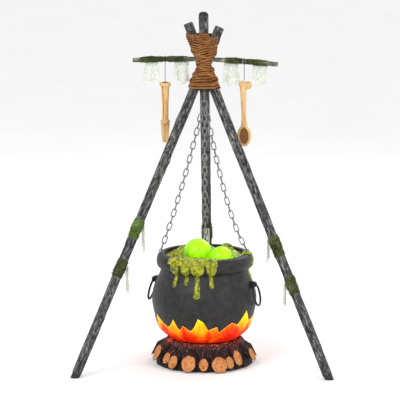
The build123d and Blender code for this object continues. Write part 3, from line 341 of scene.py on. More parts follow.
def iron_shader():
    s = Shader("black_iron", Roughness=0.5, Specular_IOR_Level=0.4)
    fine = s.noise(s.place(), 3.5 * MM, 6, 0.65)
    dents = s.noise(s.place(), 24 * MM, 3, 0.5, 0.4)
    speck = s.noise(s.place(), 7 * MM, 5, 0.75, 0.3)
    colour = s.ramp(dents, (0.35, (0.005, 0.0047, 0.0044)), (0.65, (0.017, 0.0165, 0.016)))
    colour = s.mix(s.grey(speck, 0.60, 0.72, 0.0, 0.30), colour, (0.13, 0.13, 0.085))
    s.join("Base Color", colour)
    s.join("Roughness", s.grey(fine, 0.3, 0.7, 0.40, 0.62))
    s.bump(s.total(dents, 1.5, fine, 0.30), 2.6 * MM, 0.5)
    return s.material


def steel_shader():
    s = Shader("steel_wire", Metallic=1.0, Roughness=0.36)
    wear = s.noise(s.place(), 5 * MM, 5, 0.6)
    tone = 0.34
    worn = (tone * 0.55, tone * 0.55, tone * 0.58)
    s.join("Base Color", s.ramp(wear, (0.35, worn), (0.65, (tone, tone, tone))))
    s.join("Roughness", s.grey(wear, 0.3, 0.7, 0.28, 0.5))
    s.bump(wear, 0.15 * MM, 0.5)
    return s.material


def wood_shader():
    s = Shader("pale_wood", Roughness=0.6, Specular_IOR_Level=0.3)
    grain = s.noise(s.place(None, (1, 1, 0.07)), 2.6 * MM, 5, 0.6, 0.8)
    broad = s.noise(s.place(None, (1, 1, 0.25)), 22 * MM, 3, 0.5)
    colour = s.ramp(s.total(grain, 0.6, broad, 0.4), (0.34, (0.40, 0.20, 0.065)),
                    (0.47, (0.60, 0.36, 0.145)), (0.6, (0.74, 0.51, 0.26)))
    # hollow is painted shade: darker in the groove down the fork's grip, beside the slit between its tines
    # and inside the spoon's bowl
    hollow = s.grey(s.value("hollow"), 0.0, 1.0, 0.0, 0.92)
    colour = s.mix(hollow, colour, (0.17, 0.060, 0.010))
    s.join("Base Color", colour)
    s.bump(grain, 0.5 * MM, 0.6)
    return s.material


def slime_shader():
    s = Shader("olive_slime", Roughness=0.28, Specular_IOR_Level=0.3, Coat_Weight=0.15, Coat_Roughness=0.12)
    swirl = s.noise(s.place(), 22 * MM, 4, 0.55, 1.5)
    lit = s.value("lit")
    olive = s.ramp(swirl, (0.36, (0.070, 0.070, 0.001)), (0.5, (0.20, 0.20, 0.001)),
                   (0.64, (0.42, 0.40, 0.004)))
    lime = s.ramp(swirl, (0.36, (0.06, 0.30, 0.0)), (0.5, (0.20, 0.58, 0.0)), (0.64, (0.40, 0.80, 0.0)))
    colour = s.mix(lit, olive, lime)
    s.join("Base Color", colour)
    s.join("Emission Color", colour)
    s.join("Emission Strength", s.grey(lit, 0.0, 1.0, 0.02, 0.35))
    s.bump(s.noise(s.place(), 9 * MM, 3, 0.5, 0.4), 0.5 * MM, 0.3)
    return s.material


def bubble_shader():
    s = Shader("lit_bubble", Roughness=0.32, Specular_IOR_Level=0.25, Coat_Weight=0.1, Coat_Roughness=0.15)
    swirl = s.noise(s.place(None, (1, 1, 0.7)), 40 * MM, 4, 0.55, 1.2)
    # glow is partly the lamps under the domes and partly painted light, brighter on the front right side and
    # towards the top
    mixed = s.total(swirl, 0.65, s.value("glow"), 0.40)
    colour = s.ramp(mixed, (0.34, (0.05, 0.30, 0.0)), (0.48, (0.13, 0.50, 0.0)),
                    (0.62, (0.27, 0.68, 0.0)), (0.82, (0.48, 0.82, 0.0)))
    s.join("Base Color", colour)
    s.join("Emission Color", colour)
    s.join("Emission Strength", s.grey(mixed, 0.3, 0.8, 0.12, 0.40))
    s.bump(swirl, 1.4 * MM, 0.3)
    return s.material


def flame_shader():
    """Yellow hearts, orange below, red tongues in front and at the foot, with a painted highlight along each
    thin raised edge.
    """
    s = Shader("flame_band", Roughness=0.5, Specular_IOR_Level=0.12)
    lick = s.noise(s.place(None, (1, 1, 0.22)), 16 * MM, 3, 0.5, 0.6)
    heart = s.noise(s.place(None, (1, 1, 0.3)), 34 * MM, 2, 0.45, 0.3)
    where = s.math("ADD", s.value("depth"), s.math("MULTIPLY", s.math("SUBTRACT", lick, 0.5), 0.30))
    where = s.math("ADD", where, s.math("MULTIPLY", s.math("SUBTRACT", heart, 0.5), 0.7))
    colour = s.ramp(where, (0.05, (1.0, 0.68, 0.004)), (0.32, (1.0, 0.46, 0.002)),
                    (0.56, (1.0, 0.20, 0.001)), (0.76, (0.98, 0.055, 0.0)), (1.0, (0.80, 0.008, 0.0)))
    # painted highlight along the raised edge of each flame outline
    colour = s.mix(s.grey(s.value("edge"), 0.12, 0.34, 0.75, 0.0), colour, (1.0, 0.72, 0.16))
    s.join("Base Color", colour)
    s.join("Emission Color", colour)
    s.join("Emission Strength", s.grey(where, 0.0, 0.9, 0.22, 0.16))
    s.bump(lick, 1.2 * MM, 0.5)
    return s.material


def log_shader():
    s = Shader("charred_bark", Roughness=0.75, Specular_IOR_Level=0.35)
    streak = s.noise(s.place("grain", (1, 1, 0.22)), 8 * MM, 8, 0.72, 0.8)
    colour = s.ramp(streak, (0.44, (0.003, 0.0015, 0.0015)), (0.53, (0.014, 0.004, 0.004)),
                    (0.60, (0.085, 0.026, 0.024)), (0.68, (0.50, 0.27, 0.26)))
    # painted light: the flames' glow on the bark close under them, as reddened colour and a faint emission
    fire_lit = s.math("MULTIPLY", s.value("ember"), s.grey(streak, 0.47, 0.66))
    colour = s.mix(fire_lit, colour, (0.75, 0.10, 0.06))
    s.join("Base Color", colour)
    s.join("Emission Color", s.ramp(streak, (0.4, (0.55, 0.01, 0.01)), (0.65, (1.0, 0.16, 0.07))))
    s.join("Emission Strength", s.math("MULTIPLY", fire_lit, 0.22))
    s.bump(streak, 3.0 * MM, 1.0)
    return s.material


def cut_shader():
    """The sawn end of a log: growth rings on orange-tan wood with a dark rim."""
    s = Shader("cut_wood", Roughness=0.7, Specular_IOR_Level=0.3)
    ring = s.value("ring")
    wobble = s.noise(s.place(), 11 * MM, 4, 0.6)
    waves = s.math("SINE", s.math("MULTIPLY", s.math("ADD", ring, s.math("MULTIPLY", wobble, 0.25)), 34.0))
    colour = s.ramp(s.grey(waves, -1, 1), (0.2, (0.46, 0.15, 0.040)), (0.8, (0.70, 0.32, 0.10)))
    colour = s.mix(s.grey(ring, 0.88, 0.99), colour, (0.10, 0.026, 0.012))
    stain = s.noise(s.place(), 16 * MM, 5, 0.65)
    colour = s.mix(s.grey(stain, 0.46, 0.62, 0.0, 0.85), colour, (0.40, 0.085, 0.016))
    fleck = s.noise(s.place(), 5 * MM, 4, 0.7)
    colour = s.mix(s.grey(fleck, 0.54, 0.66, 0.0, 0.7), colour, (0.86, 0.56, 0.26))
    s.join("Base Color", colour)
    s.bump(s.math("ADD", waves, s.math("MULTIPLY", wobble, 3.0)), 0.9 * MM, 0.7)
    return s.material


def gauze_shader():
    """Thin pale cloth: see-through between dense patches, with thin dark lines of painted shade along its
    creases.
    """
    s = Shader("gauze", Roughness=0.95, Specular_IOR_Level=0.1)
    crease = s.noise(s.place("grain", (1, 0.5, 1)), 16 * MM, 5, 0.6, 1.6)
    axes = s.node("ShaderNodeSeparateXYZ", {"Vector": s.place("grain")}).outputs
    weave = s.math("MULTIPLY", s.math("SINE", s.math("MULTIPLY", axes["X"], 4200.0)),
                   s.math("SINE", s.math("MULTIPLY", axes["Y"], 4200.0)))
    colour = s.ramp(crease, (0.36, (0.50, 0.56, 0.45)), (0.5, (0.66, 0.70, 0.60)), (0.64, (0.80, 0.82, 0.76)))
    # painted shade: thin dark lines along the creases, kept opaque so that they show
    crease_shade = s.noise(s.place("grain", (1, 0.6, 1)), 26 * MM, 3, 0.5, 2.0)
    line = s.grey(s.math("ABSOLUTE", s.math("SUBTRACT", crease_shade, 0.5)), 0.003, 0.012, 0.7, 0.0)
    colour = s.mix(line, colour, (0.06, 0.08, 0.055))
    s.join("Base Color", colour)
    s.join("Alpha", s.math("MAXIMUM", s.grey(crease, 0.36, 0.60, 0.62, 0.90), line))
    s.bump(s.math("ADD", crease, s.math("MULTIPLY", weave, 0.08)), 0.5 * MM, 0.4)
    return s.material


def plain_shader(name, colour, roughness, size=4 * MM, depth=0.15 * MM, spread=0.25, **sockets):
    """Moulded or coated surfaces: one hue with a slight mottle and a fine texture."""
    s = Shader(name, **sockets)
    mottle = s.noise(s.place(), size, 5, 0.6)
    low = tuple(c * (1 - spread) for c in colour)
    high = tuple(min(c * (1 + spread), 1) for c in colour)
    s.join("Base Color", s.ramp(mottle, (0.35, low), (0.65, high)))
    s.join("Roughness", s.grey(mottle, 0.3, 0.7, roughness - 0.08, roughness + 0.08))
    s.bump(mottle, depth, 0.6)
    return s.material


BARK = bark_shader("grey_bark", (0.012, 0.011, 0.013), (0.062, 0.060, 0.062), (0.19, 0.19, 0.19),
                   (0.52, 0.52, 0.50), (0.98, 0.88, 1.0), (0.90, 1.0, 0.80))
BAR_BARK = bark_shader("mossy_bark", (0.030, 0.031, 0.022), (0.12, 0.125, 0.09), (0.30, 0.31, 0.27),
                       (0.58, 0.58, 0.54), (0.98, 0.98, 0.95), (0.84, 0.96, 0.66))
ROPE = rope_shader()
MOSS = fibre_shader("olive_moss", (0.010, 0.013, 0.004), (0.042, 0.052, 0.016), (0.17, 0.19, 0.09),
                    8 * MM)
BRIGHT_MOSS = fibre_shader("bright_moss", (0.020, 0.035, 0.006), (0.075, 0.125, 0.025),
                           (0.21, 0.30, 0.10), 8 * MM)
STRING = fibre_shader("dark_string", (0.008, 0.007, 0.006), (0.030, 0.026, 0.022),
                      (0.075, 0.066, 0.055), 3 * MM)
IRON = iron_shader()
STEEL = steel_shader()
WOOD = wood_shader()
SLIME = slime_shader()
BUBBLE = bubble_shader()
FLAME = flame_shader()
LOG = log_shader()
CUT = cut_shader()
GAUZE = gauze_shader()
SLOT_SHADERS = {
    "bark_sleeve": BARK, "bark_bar": BAR_BARK, "jute_rope": ROPE, "moss": MOSS, "gauze": GAUZE,
    "pale_wood": WOOD, "dark_string": STRING, "steel": STEEL, "black_iron_look": IRON,
    "flame_skin": FLAME, "slime": SLIME, "lit_bubble": BUBBLE, "charred_bark": LOG,
    "black_plastic": plain_shader("black_plastic", (0.022, 0.022, 0.024), 0.5),
    "hub_plastic": plain_shader("hub_plastic", (0.03, 0.03, 0.03), 0.55),
    "foot_rubber": plain_shader("foot_rubber", (0.016, 0.016, 0.017), 0.75, 3 * MM, 0.4 * MM),
    "white_nylon": plain_shader("white_nylon", (0.74, 0.73, 0.68), 0.42),
    "circuit_board": plain_shader("circuit_board", (0.02, 0.13, 0.05), 0.35, 2 * MM),
    "led_lens": plain_shader("led_lens", (0.75, 0.80, 0.66), 0.12, 3 * MM, 0.05 * MM, 0.1),
    "cell_jacket": plain_shader("cell_jacket", (0.06, 0.06, 0.07), 0.35, 8 * MM),
    "contact_brass": plain_shader("contact_brass", (0.70, 0.52, 0.22), 0.32, 3 * MM, 0.1 * MM, 0.2,
                                  Metallic=1.0),
    "wire_jacket": plain_shader("wire_jacket", (0.02, 0.02, 0.02), 0.6),
    "red_button": plain_shader("red_button", (0.55, 0.03, 0.02), 0.3, 6 * MM, 0.1 * MM, 0.12),
}


def dress_cad_nodes():
    """Every CAD node that stays visible takes the procedural material of its slot."""
    for part in frame["record"]["subparts"]:
        mesh = frame["nodes"][part["node"]].data
        mesh.materials.clear()
        mesh.materials.append(SLOT_SHADERS[part["material_slot"]])


# ================= Poles, crossbar and lashing
def along_pole(side, node):
    """Where a piece starts and ends along its pole, measured down from the crossing."""
    run = (node_points(node) - np.array(CROSSING)) @ np.array(AXES[side])
    return run.min(), run.max()


def bark_radius(seed, knots):
    """Radius of a bark-covered stick at a distance along it and an angle round it."""
    def shape(s, angle, r):
        ridge = noise.fractal(around(angle, 1.7, s * 9 + seed), 0.9, 2.0, 4)
        furrow = noise.noise(around(angle, 5, s * 16 + seed * 3))
        out = ridge * 1.0 * MM + furrow * 0.5 * MM - 0.4 * MM
        for at, turn, height in knots:
            away = ((s - at) / 0.016) ** 2 + (sin((angle - turn) / 2) * 3.2) ** 2
            out += height * exp(-away)
        return r + out
    return shape


def make_poles():
    for side in SIDES:
        for part in ("upper", "lower", "top"):
            node = f"{side}_pole_{part}"
            low, high = along_pole(side, node)
            if part != "top":
                low += POLE_R * 0.02
            count = max(int((high - low) / (4 * MM)), 8)
            path = [CROSSING + AXES[side] * (low + (high - low) * i / count)
                    for i in range(count + 1)]
            seed = sum(map(ord, node)) % 17 + 0.37
            knots = [(rng.uniform(0.05, max(high - low - 0.03, 0.06)), rng.uniform(0, 2 * pi),
                      rng.uniform(1.5, 3.2) * MM) for _ in range(int((high - low) / 0.11))]
            radii = np.full(len(path), POLE_R)
            radii[0] = radii[-1] = POLE_R * 0.93
            verts, faces, grain = tube_mesh(path, radii, 36, shape=bark_radius(seed, knots))
            grain = [(x, y, z + seed) for x, y, z in grain]
            piece = make_object(f"{node}_bark", verts, faces, grain)
            finish_piece(piece, "tripod", BARK, [node])


def crossbar_height(x):
    points = node_points("crossbar")
    curve = np.polyfit(points[:, 0], points[:, 2], 2)
    return float(np.polyval(curve, x))


def make_crossbar():
    low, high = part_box("crossbar")
    radius = (high.y - low.y) / 2
    reach = np.linspace(low.x + 2 * MM, high.x - 2 * MM, 150)
    path = [(x, rumple((x, 0, 0), 0.12, 1.0 * MM), crossbar_height(x)) for x in reach]
    knots = [(rng.uniform(0.04, 0.56), rng.uniform(0, 2 * pi), rng.uniform(1.5, 3.0) * MM)
             for _ in range(7)]
    radii = radius * (0.97 + 0.10 * np.array([noise.noise(Vector((x * 14, 3, 1))) for x in reach]))
    radii[0] = radii[-1] = radius * 0.8
    verts, faces, grain = tube_mesh(path, radii, 28, shape=bark_radius(4.2, knots))
    piece = make_object("crossbar_branch", verts, faces, grain)
    finish_piece(piece, "tripod", BAR_BARK, ["crossbar"])


RIGHT_STUB_FREE = 58 * MM  # height above the crossing where the rope leaves the right stub outside
ROPE_R = 4.6 * MM
ROPE_LAY = 20 * MM
ROPE_SIDES = 12
BARE_TOP = 26 * MM  # how far the turns and the core stay below the lashing's top between the poles
# slanting turns: middle height, half rise, where they are highest, how far out in rope radii
SLANTS = [(-0.062, 0.012, 0.2, 1.7), (-0.046, -0.014, 0.6, 1.7), (-0.030, 0.013, 1.0, 1.7),
          (-0.012, -0.011, 1.6, 1.7), (0.016, 0.012, 2.1, 1.7), (0.050, -0.013, 2.6, 1.7)]


def hull_point(height, angle, grow):
    """A point on the outline round the three poles at this height, facing this way."""
    spread = abs(height) * SPREAD
    first = 90 if height < 0 else 270
    centres = [around(radians(first + 120 * i)) * spread for i in range(3)]
    if height > RIGHT_STUB_FREE:
        # the top turns pass inside the stub on the right
        centres[1] *= max(1 - (height - RIGHT_STUB_FREE) / (80 * MM), 0.62)
    facing = around(angle)
    centre = max(centres, key=lambda c: c.dot(facing))
    return centre + facing * (POLE_R * 1.06 + grow) + Vector((0, 0, CROSSING.z + height))


def twisted(lay):
    """Three-strand rope section, turning once in each lay length."""
    def shape(s, angle, r):
        return r * (1 + 0.15 * cos(3 * (angle - 2 * pi * s / lay)))
    return shape


def rope_tube(batch, path, closed=False):
    """A rope along a path; groove is painted shade, darkening it between its strands and on its side towards
    the poles.
    """
    verts, faces, grain = tube_mesh(path, ROPE_R, ROPE_SIDES, closed, twisted(ROPE_LAY))
    _, side, up = frames_along(path, closed)
    groove = []
    for k, vert in enumerate(verts):
        i, j = divmod(k, ROPE_SIDES)
        turn = 2 * pi * j / ROPE_SIDES
        out = side[i] * cos(turn) + up[i] * sin(turn)
        away = np.array((path[i][0], path[i][1], 0.0))
        away /= max(np.linalg.norm(away), 1e-6)
        outward = float(np.dot(out, away))
        strand = 0.5 - 0.5 * cos(3 * (turn - 2 * pi * grain[k][2] / ROPE_LAY))
        # painted shade: darker on the side facing the poles and between the strands
        groove.append(min(max(0.78 - outward, 0) * 1.5, 1) + 0.45 * strand ** 2)
    batch.add(verts, faces, grain, groove=[min(g, 1.0) for g in groove])


def make_lashing():
    """Turns of rope round the crossed poles, a dark core under them that stands for the shade between the
    turns, and slanting turns over them.
    """
    low, high = LASH_LOW - CROSSING.z + ROPE_R, LASH_HIGH - CROSSING.z - ROPE_R
    pitch = ROPE_R * 2.02
    steps = 60
    path = []
    for i in range(int((high - low) / pitch * steps)):
        angle = 2 * pi * i / steps
        height = low + pitch * i / steps
        sway = 2.6 * MM * sin(angle * 2 + height * 55) + rumple((height * 3, angle, 0), 1.4, 1.6 * MM)
        front = max(-sin(angle), 0) * max(height, 0) / high
        top = high + 4 * MM - BARE_TOP * cos(angle) ** 4
        height = min(max(height + sway, low), top) + 18 * MM * front
        path.append(hull_point(height, angle, ROPE_R * 0.8 + rumple((height, angle, 2), 0.9, 0.9 * MM)))
    batch = Batch()
    rope_tube(batch, path)
    for middle, rise, phase, grow in SLANTS:
        turns = [2 * pi * i / 160 for i in range(160)]
        loop = [hull_point(middle + rise * sin(turn + phase), turn, ROPE_R * grow) for turn in turns]
        rope_tube(batch, loop, closed=True)
    rows, columns = 40, 48
    # the core is a dark sheet of painted shade, seen between the turns
    core = [hull_point(low + (high - BARE_TOP - low) * i / (rows - 1), turn, ROPE_R * 0.25)
            for i, _, _, turn in wound(rows, columns)]
    batch.add(core, grid_faces(rows, columns), core, groove=[1.0] * len(core))
    finish_piece(batch.build("jute_lashing"), "tripod", ROPE, ["rope_lashing"])


# ================= Moss and gauze
def fibres(batch, spots, normals, count, length):
    """Short curled strands growing out of a surface; spots and normals list where."""
    droop = Vector((0, 0, -0.2))
    radii = 0.45 * MM * np.array([1, 0.9, 0.75, 0.5, 0.15])
    for _ in range(count):
        k = rng.integers(len(spots))
        spot, normal = Vector(spots[k]), Vector(normals[k])
        lean = Vector(rng.normal(0, 0.9, 3))
        direction = (normal + lean).normalized()
        reach = length * rng.uniform(0.4, 1.2)
        points = [spot]
        for _ in range(4):
            curl = Vector(rng.normal(0, 0.35, 3))
            direction = (direction + curl + droop).normalized()
            points.append(points[-1] + direction * reach / 4)
        batch.add(*tube_mesh(points, radii, 3, ends=False))


def moss_wrap(name, path, radius, thickness, shader, node, length):
    """A ragged clump of moss round a stick: a lumpy mat with strands growing out of it."""
    seed = float(rng.uniform(0, 50))
    _, side, up = frames_along(path)
    verts, spots, normals = [], [], []
    columns = 30
    for i, _, t, angle in wound(len(path), columns):
        out = Vector(side[i]) * cos(angle) + Vector(up[i]) * sin(angle)
        lump = noise.fractal(around(angle, 1.6, t * 3 + seed), 0.7, 2.2, 4)
        depth = thickness * max(sin(pi * t), 0.0) ** 0.45 * max(0.75 + 0.75 * lump, 0.0)
        spot = path[i] + out * (radius + depth - 0.4 * MM)
        verts.append(spot)
        if depth > thickness * 0.25:
            spots.append(spot)
            normals.append(out)
    batch = Batch()
    batch.add(verts, grid_faces(len(path), columns))
    fibres(batch, spots, normals, 420, length)
    finish_piece(batch.build(name), "tripod", shader, [node])


def nearest_side(points):
    middle = Vector(points.mean(0))
    return min(SIDES, key=lambda s: ((middle - CROSSING) - AXES[s] * (middle - CROSSING).dot(AXES[s])).length)


def make_moss():
    for k, points in enumerate(islands("pole_moss")):
        side = nearest_side(points)
        run = (points - np.array(CROSSING)) @ np.array(AXES[side])
        path = [CROSSING + AXES[side] * s for s in np.linspace(run.min(), run.max(), 22)]
        upper_left = side == "left" and run.min() < 0.8
        shader = BRIGHT_MOSS if upper_left else MOSS
        thick = 3 * MM if side == "back" else 4.5 * MM
        moss_wrap(f"pole_moss_{k}", path, POLE_R, thick, shader, "pole_moss", 11 * MM)
    for k, points in enumerate(islands("bar_moss")):
        low, high = points[:, 0].min() - 9 * MM, points[:, 0].max() + 9 * MM
        radius = (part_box("crossbar")[1].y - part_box("crossbar")[0].y) / 2
        path = [Vector((x, 0, crossbar_height(x))) for x in np.linspace(low, high, 30)]
        moss_wrap(f"bar_moss_{k}", path, radius, 2.8 * MM, MOSS, "bar_moss", 6 * MM)


def make_lashing_moss():
    """The tuft hanging inside the crossed poles."""
    low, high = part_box("lashing_moss")
    verts, normals = [], []
    rows, columns = 12, 30
    for i, _, t, angle in wound(rows, columns):
        bulge = 1 + 0.35 * noise.noise(around(angle, 2, i * 0.5))
        radius = 20 * MM * sin(pi * (i + 0.7) / rows) ** 0.4 * bulge
        verts.append(around(angle, radius, low.z + (high.z - low.z) * t))
        normals.append(around(angle, 1, -0.3))
    batch = Batch()
    batch.add(verts, grid_faces(rows, columns))
    fibres(batch, verts, normals, 500, 14 * MM)
    finish_piece(batch.build("lashing_moss_tuft"), "tripod", MOSS, ["lashing_moss"])


def make_gauze_sheet(name, top, across, width, drop, seed, node):
    """A torn strip of gauze gathered at its top edge, hanging in soft folds with a ragged hem."""
    across = Vector(across).normalized()
    out = across.cross(Vector((0, 0, 1)))
    columns, rows = max(int(width / (1.6 * MM)), 12), int(drop / (2.2 * MM))
    verts, grain = [], []
    for i in range(rows + 1):
        v = i / rows
        for j in range(columns + 1):
            u = j / columns - 0.5
            bend = noise.noise(Vector((u * 2, v * 1.6, seed)))
            fold = sin(u * 13 + seed + 1.6 * bend) * (2.4 + 2.6 * v) * MM
            wave = rumple((u * width, v * drop, seed), 30 * MM, 1.6 * MM)
            squeeze = 0.90 + 0.20 * v ** 2 + 0.12 * noise.noise(Vector((v * 3, seed, 0)))
            sag = rumple((u * 0.5, v * 1.5, seed + 5), 0.8, 4 * MM) * v
            point = Vector(top) + across * (u * width * squeeze + sag) + out * (fold + wave)
            verts.append(point + Vector((0, 0, -v * drop)))
            grain.append((u * width, -v * drop, seed))
    faces = []
    for face in grid_faces(rows + 1, columns + 1, wrap=False):
        i, j = divmod(face[0], columns + 1)
        u, v = j / columns, i / rows
        torn = noise.fractal(Vector((u * 3.2, v * 5, seed)), 0.8, 2.1, 3)
        hem = 1.0 - 0.26 * max(0.35 + 0.9 * noise.fractal(Vector((u * 2.6, seed, 0)), 0.7, 2.0, 3), 0)
        edge = 0.02 + 0.10 * abs(noise.fractal(Vector((v * 4, seed, 3)), 0.8, 2.0, 3))
        if v < hem and edge < u < 1 - edge and (torn > -0.85 or v < 0.15):
            faces.append(face)
    piece = make_object(name, verts, faces, grain)
    tidy = bmesh.new()
    tidy.from_mesh(piece.data)
    bmesh.ops.delete(tidy, geom=[v for v in tidy.verts if not v.link_faces], context="VERTS")
    area = sum(f.calc_area() for f in tidy.faces)
    tidy.to_mesh(piece.data)
    tidy.free()
    finish_piece(piece, "tripod", GAUZE, [node])


def make_gauze():
    for node in ("bar_gauze", "pole_gauze"):
        for k, points in enumerate(islands(node)):
            low, high = points.min(0), points.max(0)
            middle = (low + high) / 2
            if node == "bar_gauze":
                across = (1, 0, 0)
                width = (high[0] - low[0]) * 1.3
            else:
                side = nearest_side(points)
                across = Vector((-FEET[side].y, FEET[side].x, 0)).normalized()
                width = max(hypot(high[0] - low[0], high[1] - low[1]), 18 * MM) * 1.15
            top = Vector((middle[0], middle[1], high[2]))
            drop = high[2] - low[2]
            seed = 3.1 * k + len(node)
            make_gauze_sheet(f"{node}_{k}", top, across, width, drop, seed, node)


# ================= Utensils
def closed_faces(rows, columns):
    """Quads round a form, with a face over its first row and one over its last."""
    last = range((rows - 1) * columns, rows * columns)
    return grid_faces(rows, columns) + [tuple(range(columns)), tuple(reversed(last))]


def lathe(centre, profile, columns, squash, shape):
    """A turned form; profile lists radius and depth below the centre, shape changes the radius."""
    grain = []
    for radius, depth in profile:
        for j in range(columns):
            angle = 2 * pi * j / columns
            r = shape(depth, angle, radius)
            grain.append(Vector((cos(angle) * r, sin(angle) * r * squash, -depth)))
    return [centre + point for point in grain], closed_faces(len(profile), columns), grain


def smooth_profile(points, steps=6):
    """Rounds a listed profile with a Catmull-Rom curve."""
    points = [points[0], *points, points[-1]]
    found = []
    for p0, p1, p2, p3 in zip(points, points[1:], points[2:], points[3:]):
        for i in range(steps):
            t = i / steps
            found.append(tuple(0.5 * (2 * b + (c - a) * t + (2 * a - 5 * b + 4 * c - d) * t * t
                                      + (3 * b - a - 3 * c + d) * t ** 3)
                               for a, b, c, d in zip(p0, p1, p2, p3)))
    return found + [points[-1]]


GROOVE_TURN = radians(235)  # which way the groove cut down the fork's grip faces
GROOVE_TOP = 12 * MM
# the grip's outline: share of its half width, share of its length down from the top
GRIP = [(0.72, 0.14), (0.66, 0.35), (0.58, 0.6), (0.56, 0.86), (0.60, 0.90), (0.80, 0.93), (0.82, 0.965),
        (0.70, 0.995)]


def make_fork_grip():
    """A turned wooden grip with a knob at each end and a groove down it, darkened with painted shade."""
    low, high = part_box("fork_handle")
    centre = Vector(((low.x + high.x) / 2, 0, high.z - 0.2 * MM))
    depth = high.z - low.z
    wide = (high.x - low.x) / 2
    knob = [(wide * 0.55, 0), (wide * 0.93, 1 * MM), (wide, 5 * MM), (wide * 0.95, 13 * MM)]
    profile = smooth_profile(knob + [(wide * share, depth * down) for share, down in GRIP])

    def grooved(down, angle, width):
        return exp(-((angle - GROOVE_TURN) / width) ** 2) * (GROOVE_TOP < down < depth * 0.88)

    def carved(down, angle, r):
        return r - grooved(down, angle, 0.16) * 3.2 * MM + noise.noise(around(angle, 2, down * 18)) * 0.7 * MM

    verts, faces, grain = lathe(centre, profile, 56, 0.96, carved)
    # painted shade along the groove
    dark = []
    for v in verts:
        turn = atan2(v.y - centre.y, v.x - centre.x) % (2 * pi)
        dark.append(1.0 if grooved(centre.z - v.z, turn, 0.12) > 0.4 else 0.0)
    piece = make_object("fork_grip", verts, faces, grain, hollow=dark)
    finish_piece(piece, "fork", WOOD, ["fork_handle"])


def make_fork_tines():
    """Two flat tapered tines with a slit between them."""
    low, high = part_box("fork_blade")
    middle = box_middle("fork_handle").x
    slit = 0.35 * MM
    rows, columns = 30, 36
    batch = Batch()
    for side in (-1, 1):
        verts = []
        for _, _, t, angle in wound(rows, columns):
            half = (high.x - low.x) / 2 * (1.06 - 0.36 * t) * (1 - 0.25 * max(t - 0.92, 0) / 0.08)
            thick = (high.y - low.y) / 2 * (1 - 0.45 * t)
            x = slit + (half - slit) * (0.5 + 0.5 * cos(angle)) ** 0.8
            y = thick * sin(angle) * sqrt(max(1 - (x / (half * 1.12)) ** 2, 0.1))
            y /= max(abs(sin(angle)), 0.35)
            verts.append(Vector((middle + side * x, y, high.z - (high.z - low.z) * t)))
        # painted shade on the tines next to the slit between them
        dark = [0.6 if abs(v.x - middle) < 2.6 * MM else 0.0 for v in verts]
        batch.add(verts, closed_faces(rows, columns), verts, hollow=dark)
    finish_piece(batch.build("fork_tines"), "fork", WOOD, ["fork_blade"])


def make_spoon():
    """One carved form: two knobs, a slim handle and a hollow bowl, blended by a remesh."""
    low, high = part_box("spoon")
    x, top, bottom = box_middle("spoon_string").x, high.z, low.z
    work = bmesh.new()

    def ball(centre, radii):
        for vert in bmesh.ops.create_icosphere(work, subdivisions=4, radius=1)["verts"]:
            vert.co = Vector(co * r for co, r in zip(vert.co, radii)) + Vector(centre)

    ball((x - 9 * MM, 0, top - 15 * MM), (14.5 * MM, 12 * MM, 14.5 * MM))
    ball((x + 16 * MM, 0, top - 19 * MM), (16.5 * MM, 14 * MM, 17.5 * MM))
    for i in range(60):
        t = i / 59
        half = (14.5 - 4.0 * min(t * 1.6, 1) + 6.0 * max(t - 0.8, 0) * 5 * 0.5) * MM
        height = top - 18 * MM - t * ((top - bottom) * 0.62)
        ball((x - 5 * MM * (1 - t), 0, height), (half, half * 0.66, 6 * MM))
    ball((x, 1 * MM, bottom + 46 * MM), (30 * MM, 12.5 * MM, 46 * MM))
    mesh = bpy.data.meshes.new("spoon_form")
    work.to_mesh(mesh)
    work.free()
    form = add_object("spoon_carved", mesh)
    remesh = form.modifiers.new("blend", "REMESH")
    remesh.mode = "VOXEL"
    remesh.voxel_size = 1.8 * MM
    soften = form.modifiers.new("soften", "SMOOTH")
    soften.iterations = 6
    soften.factor = 0.6
    apply_modifiers(form)
    bowl = Vector((x - 1 * MM, 0, bottom + 46 * MM))
    # painted shade inside the bowl's hollow
    dark = []
    for vert in form.data.vertices:
        dx, dz = (vert.co.x - bowl.x) / (21 * MM), (vert.co.z - bowl.z) / (38 * MM)
        inside = 1 - dx * dx - dz * dz
        if inside > 0 and vert.co.y < 1 * MM:
            vert.co.y += 13 * MM * min(inside * 1.6, 1.0) ** 0.8
        near = min(max(inside * 3.0, 0), 1)
        dark.append(near if vert.co.y < 8 * MM and vert.normal.y < 0.25 else 0.0)
    layer = form.data.attributes.new("hollow", "FLOAT", "POINT")
    layer.data.foreach_set("value", dark)
    form.data.polygons.foreach_set("use_smooth", [True] * len(form.data.polygons))
    finish_piece(form, "spoon", WOOD, ["spoon"])


def apply_modifiers(piece):
    """Bakes a piece's modifiers into its mesh."""
    graph = bpy.context.evaluated_depsgraph_get()
    baked = bpy.data.meshes.new_from_object(piece.evaluated_get(graph))
    piece.modifiers.clear()
    piece.data = baked


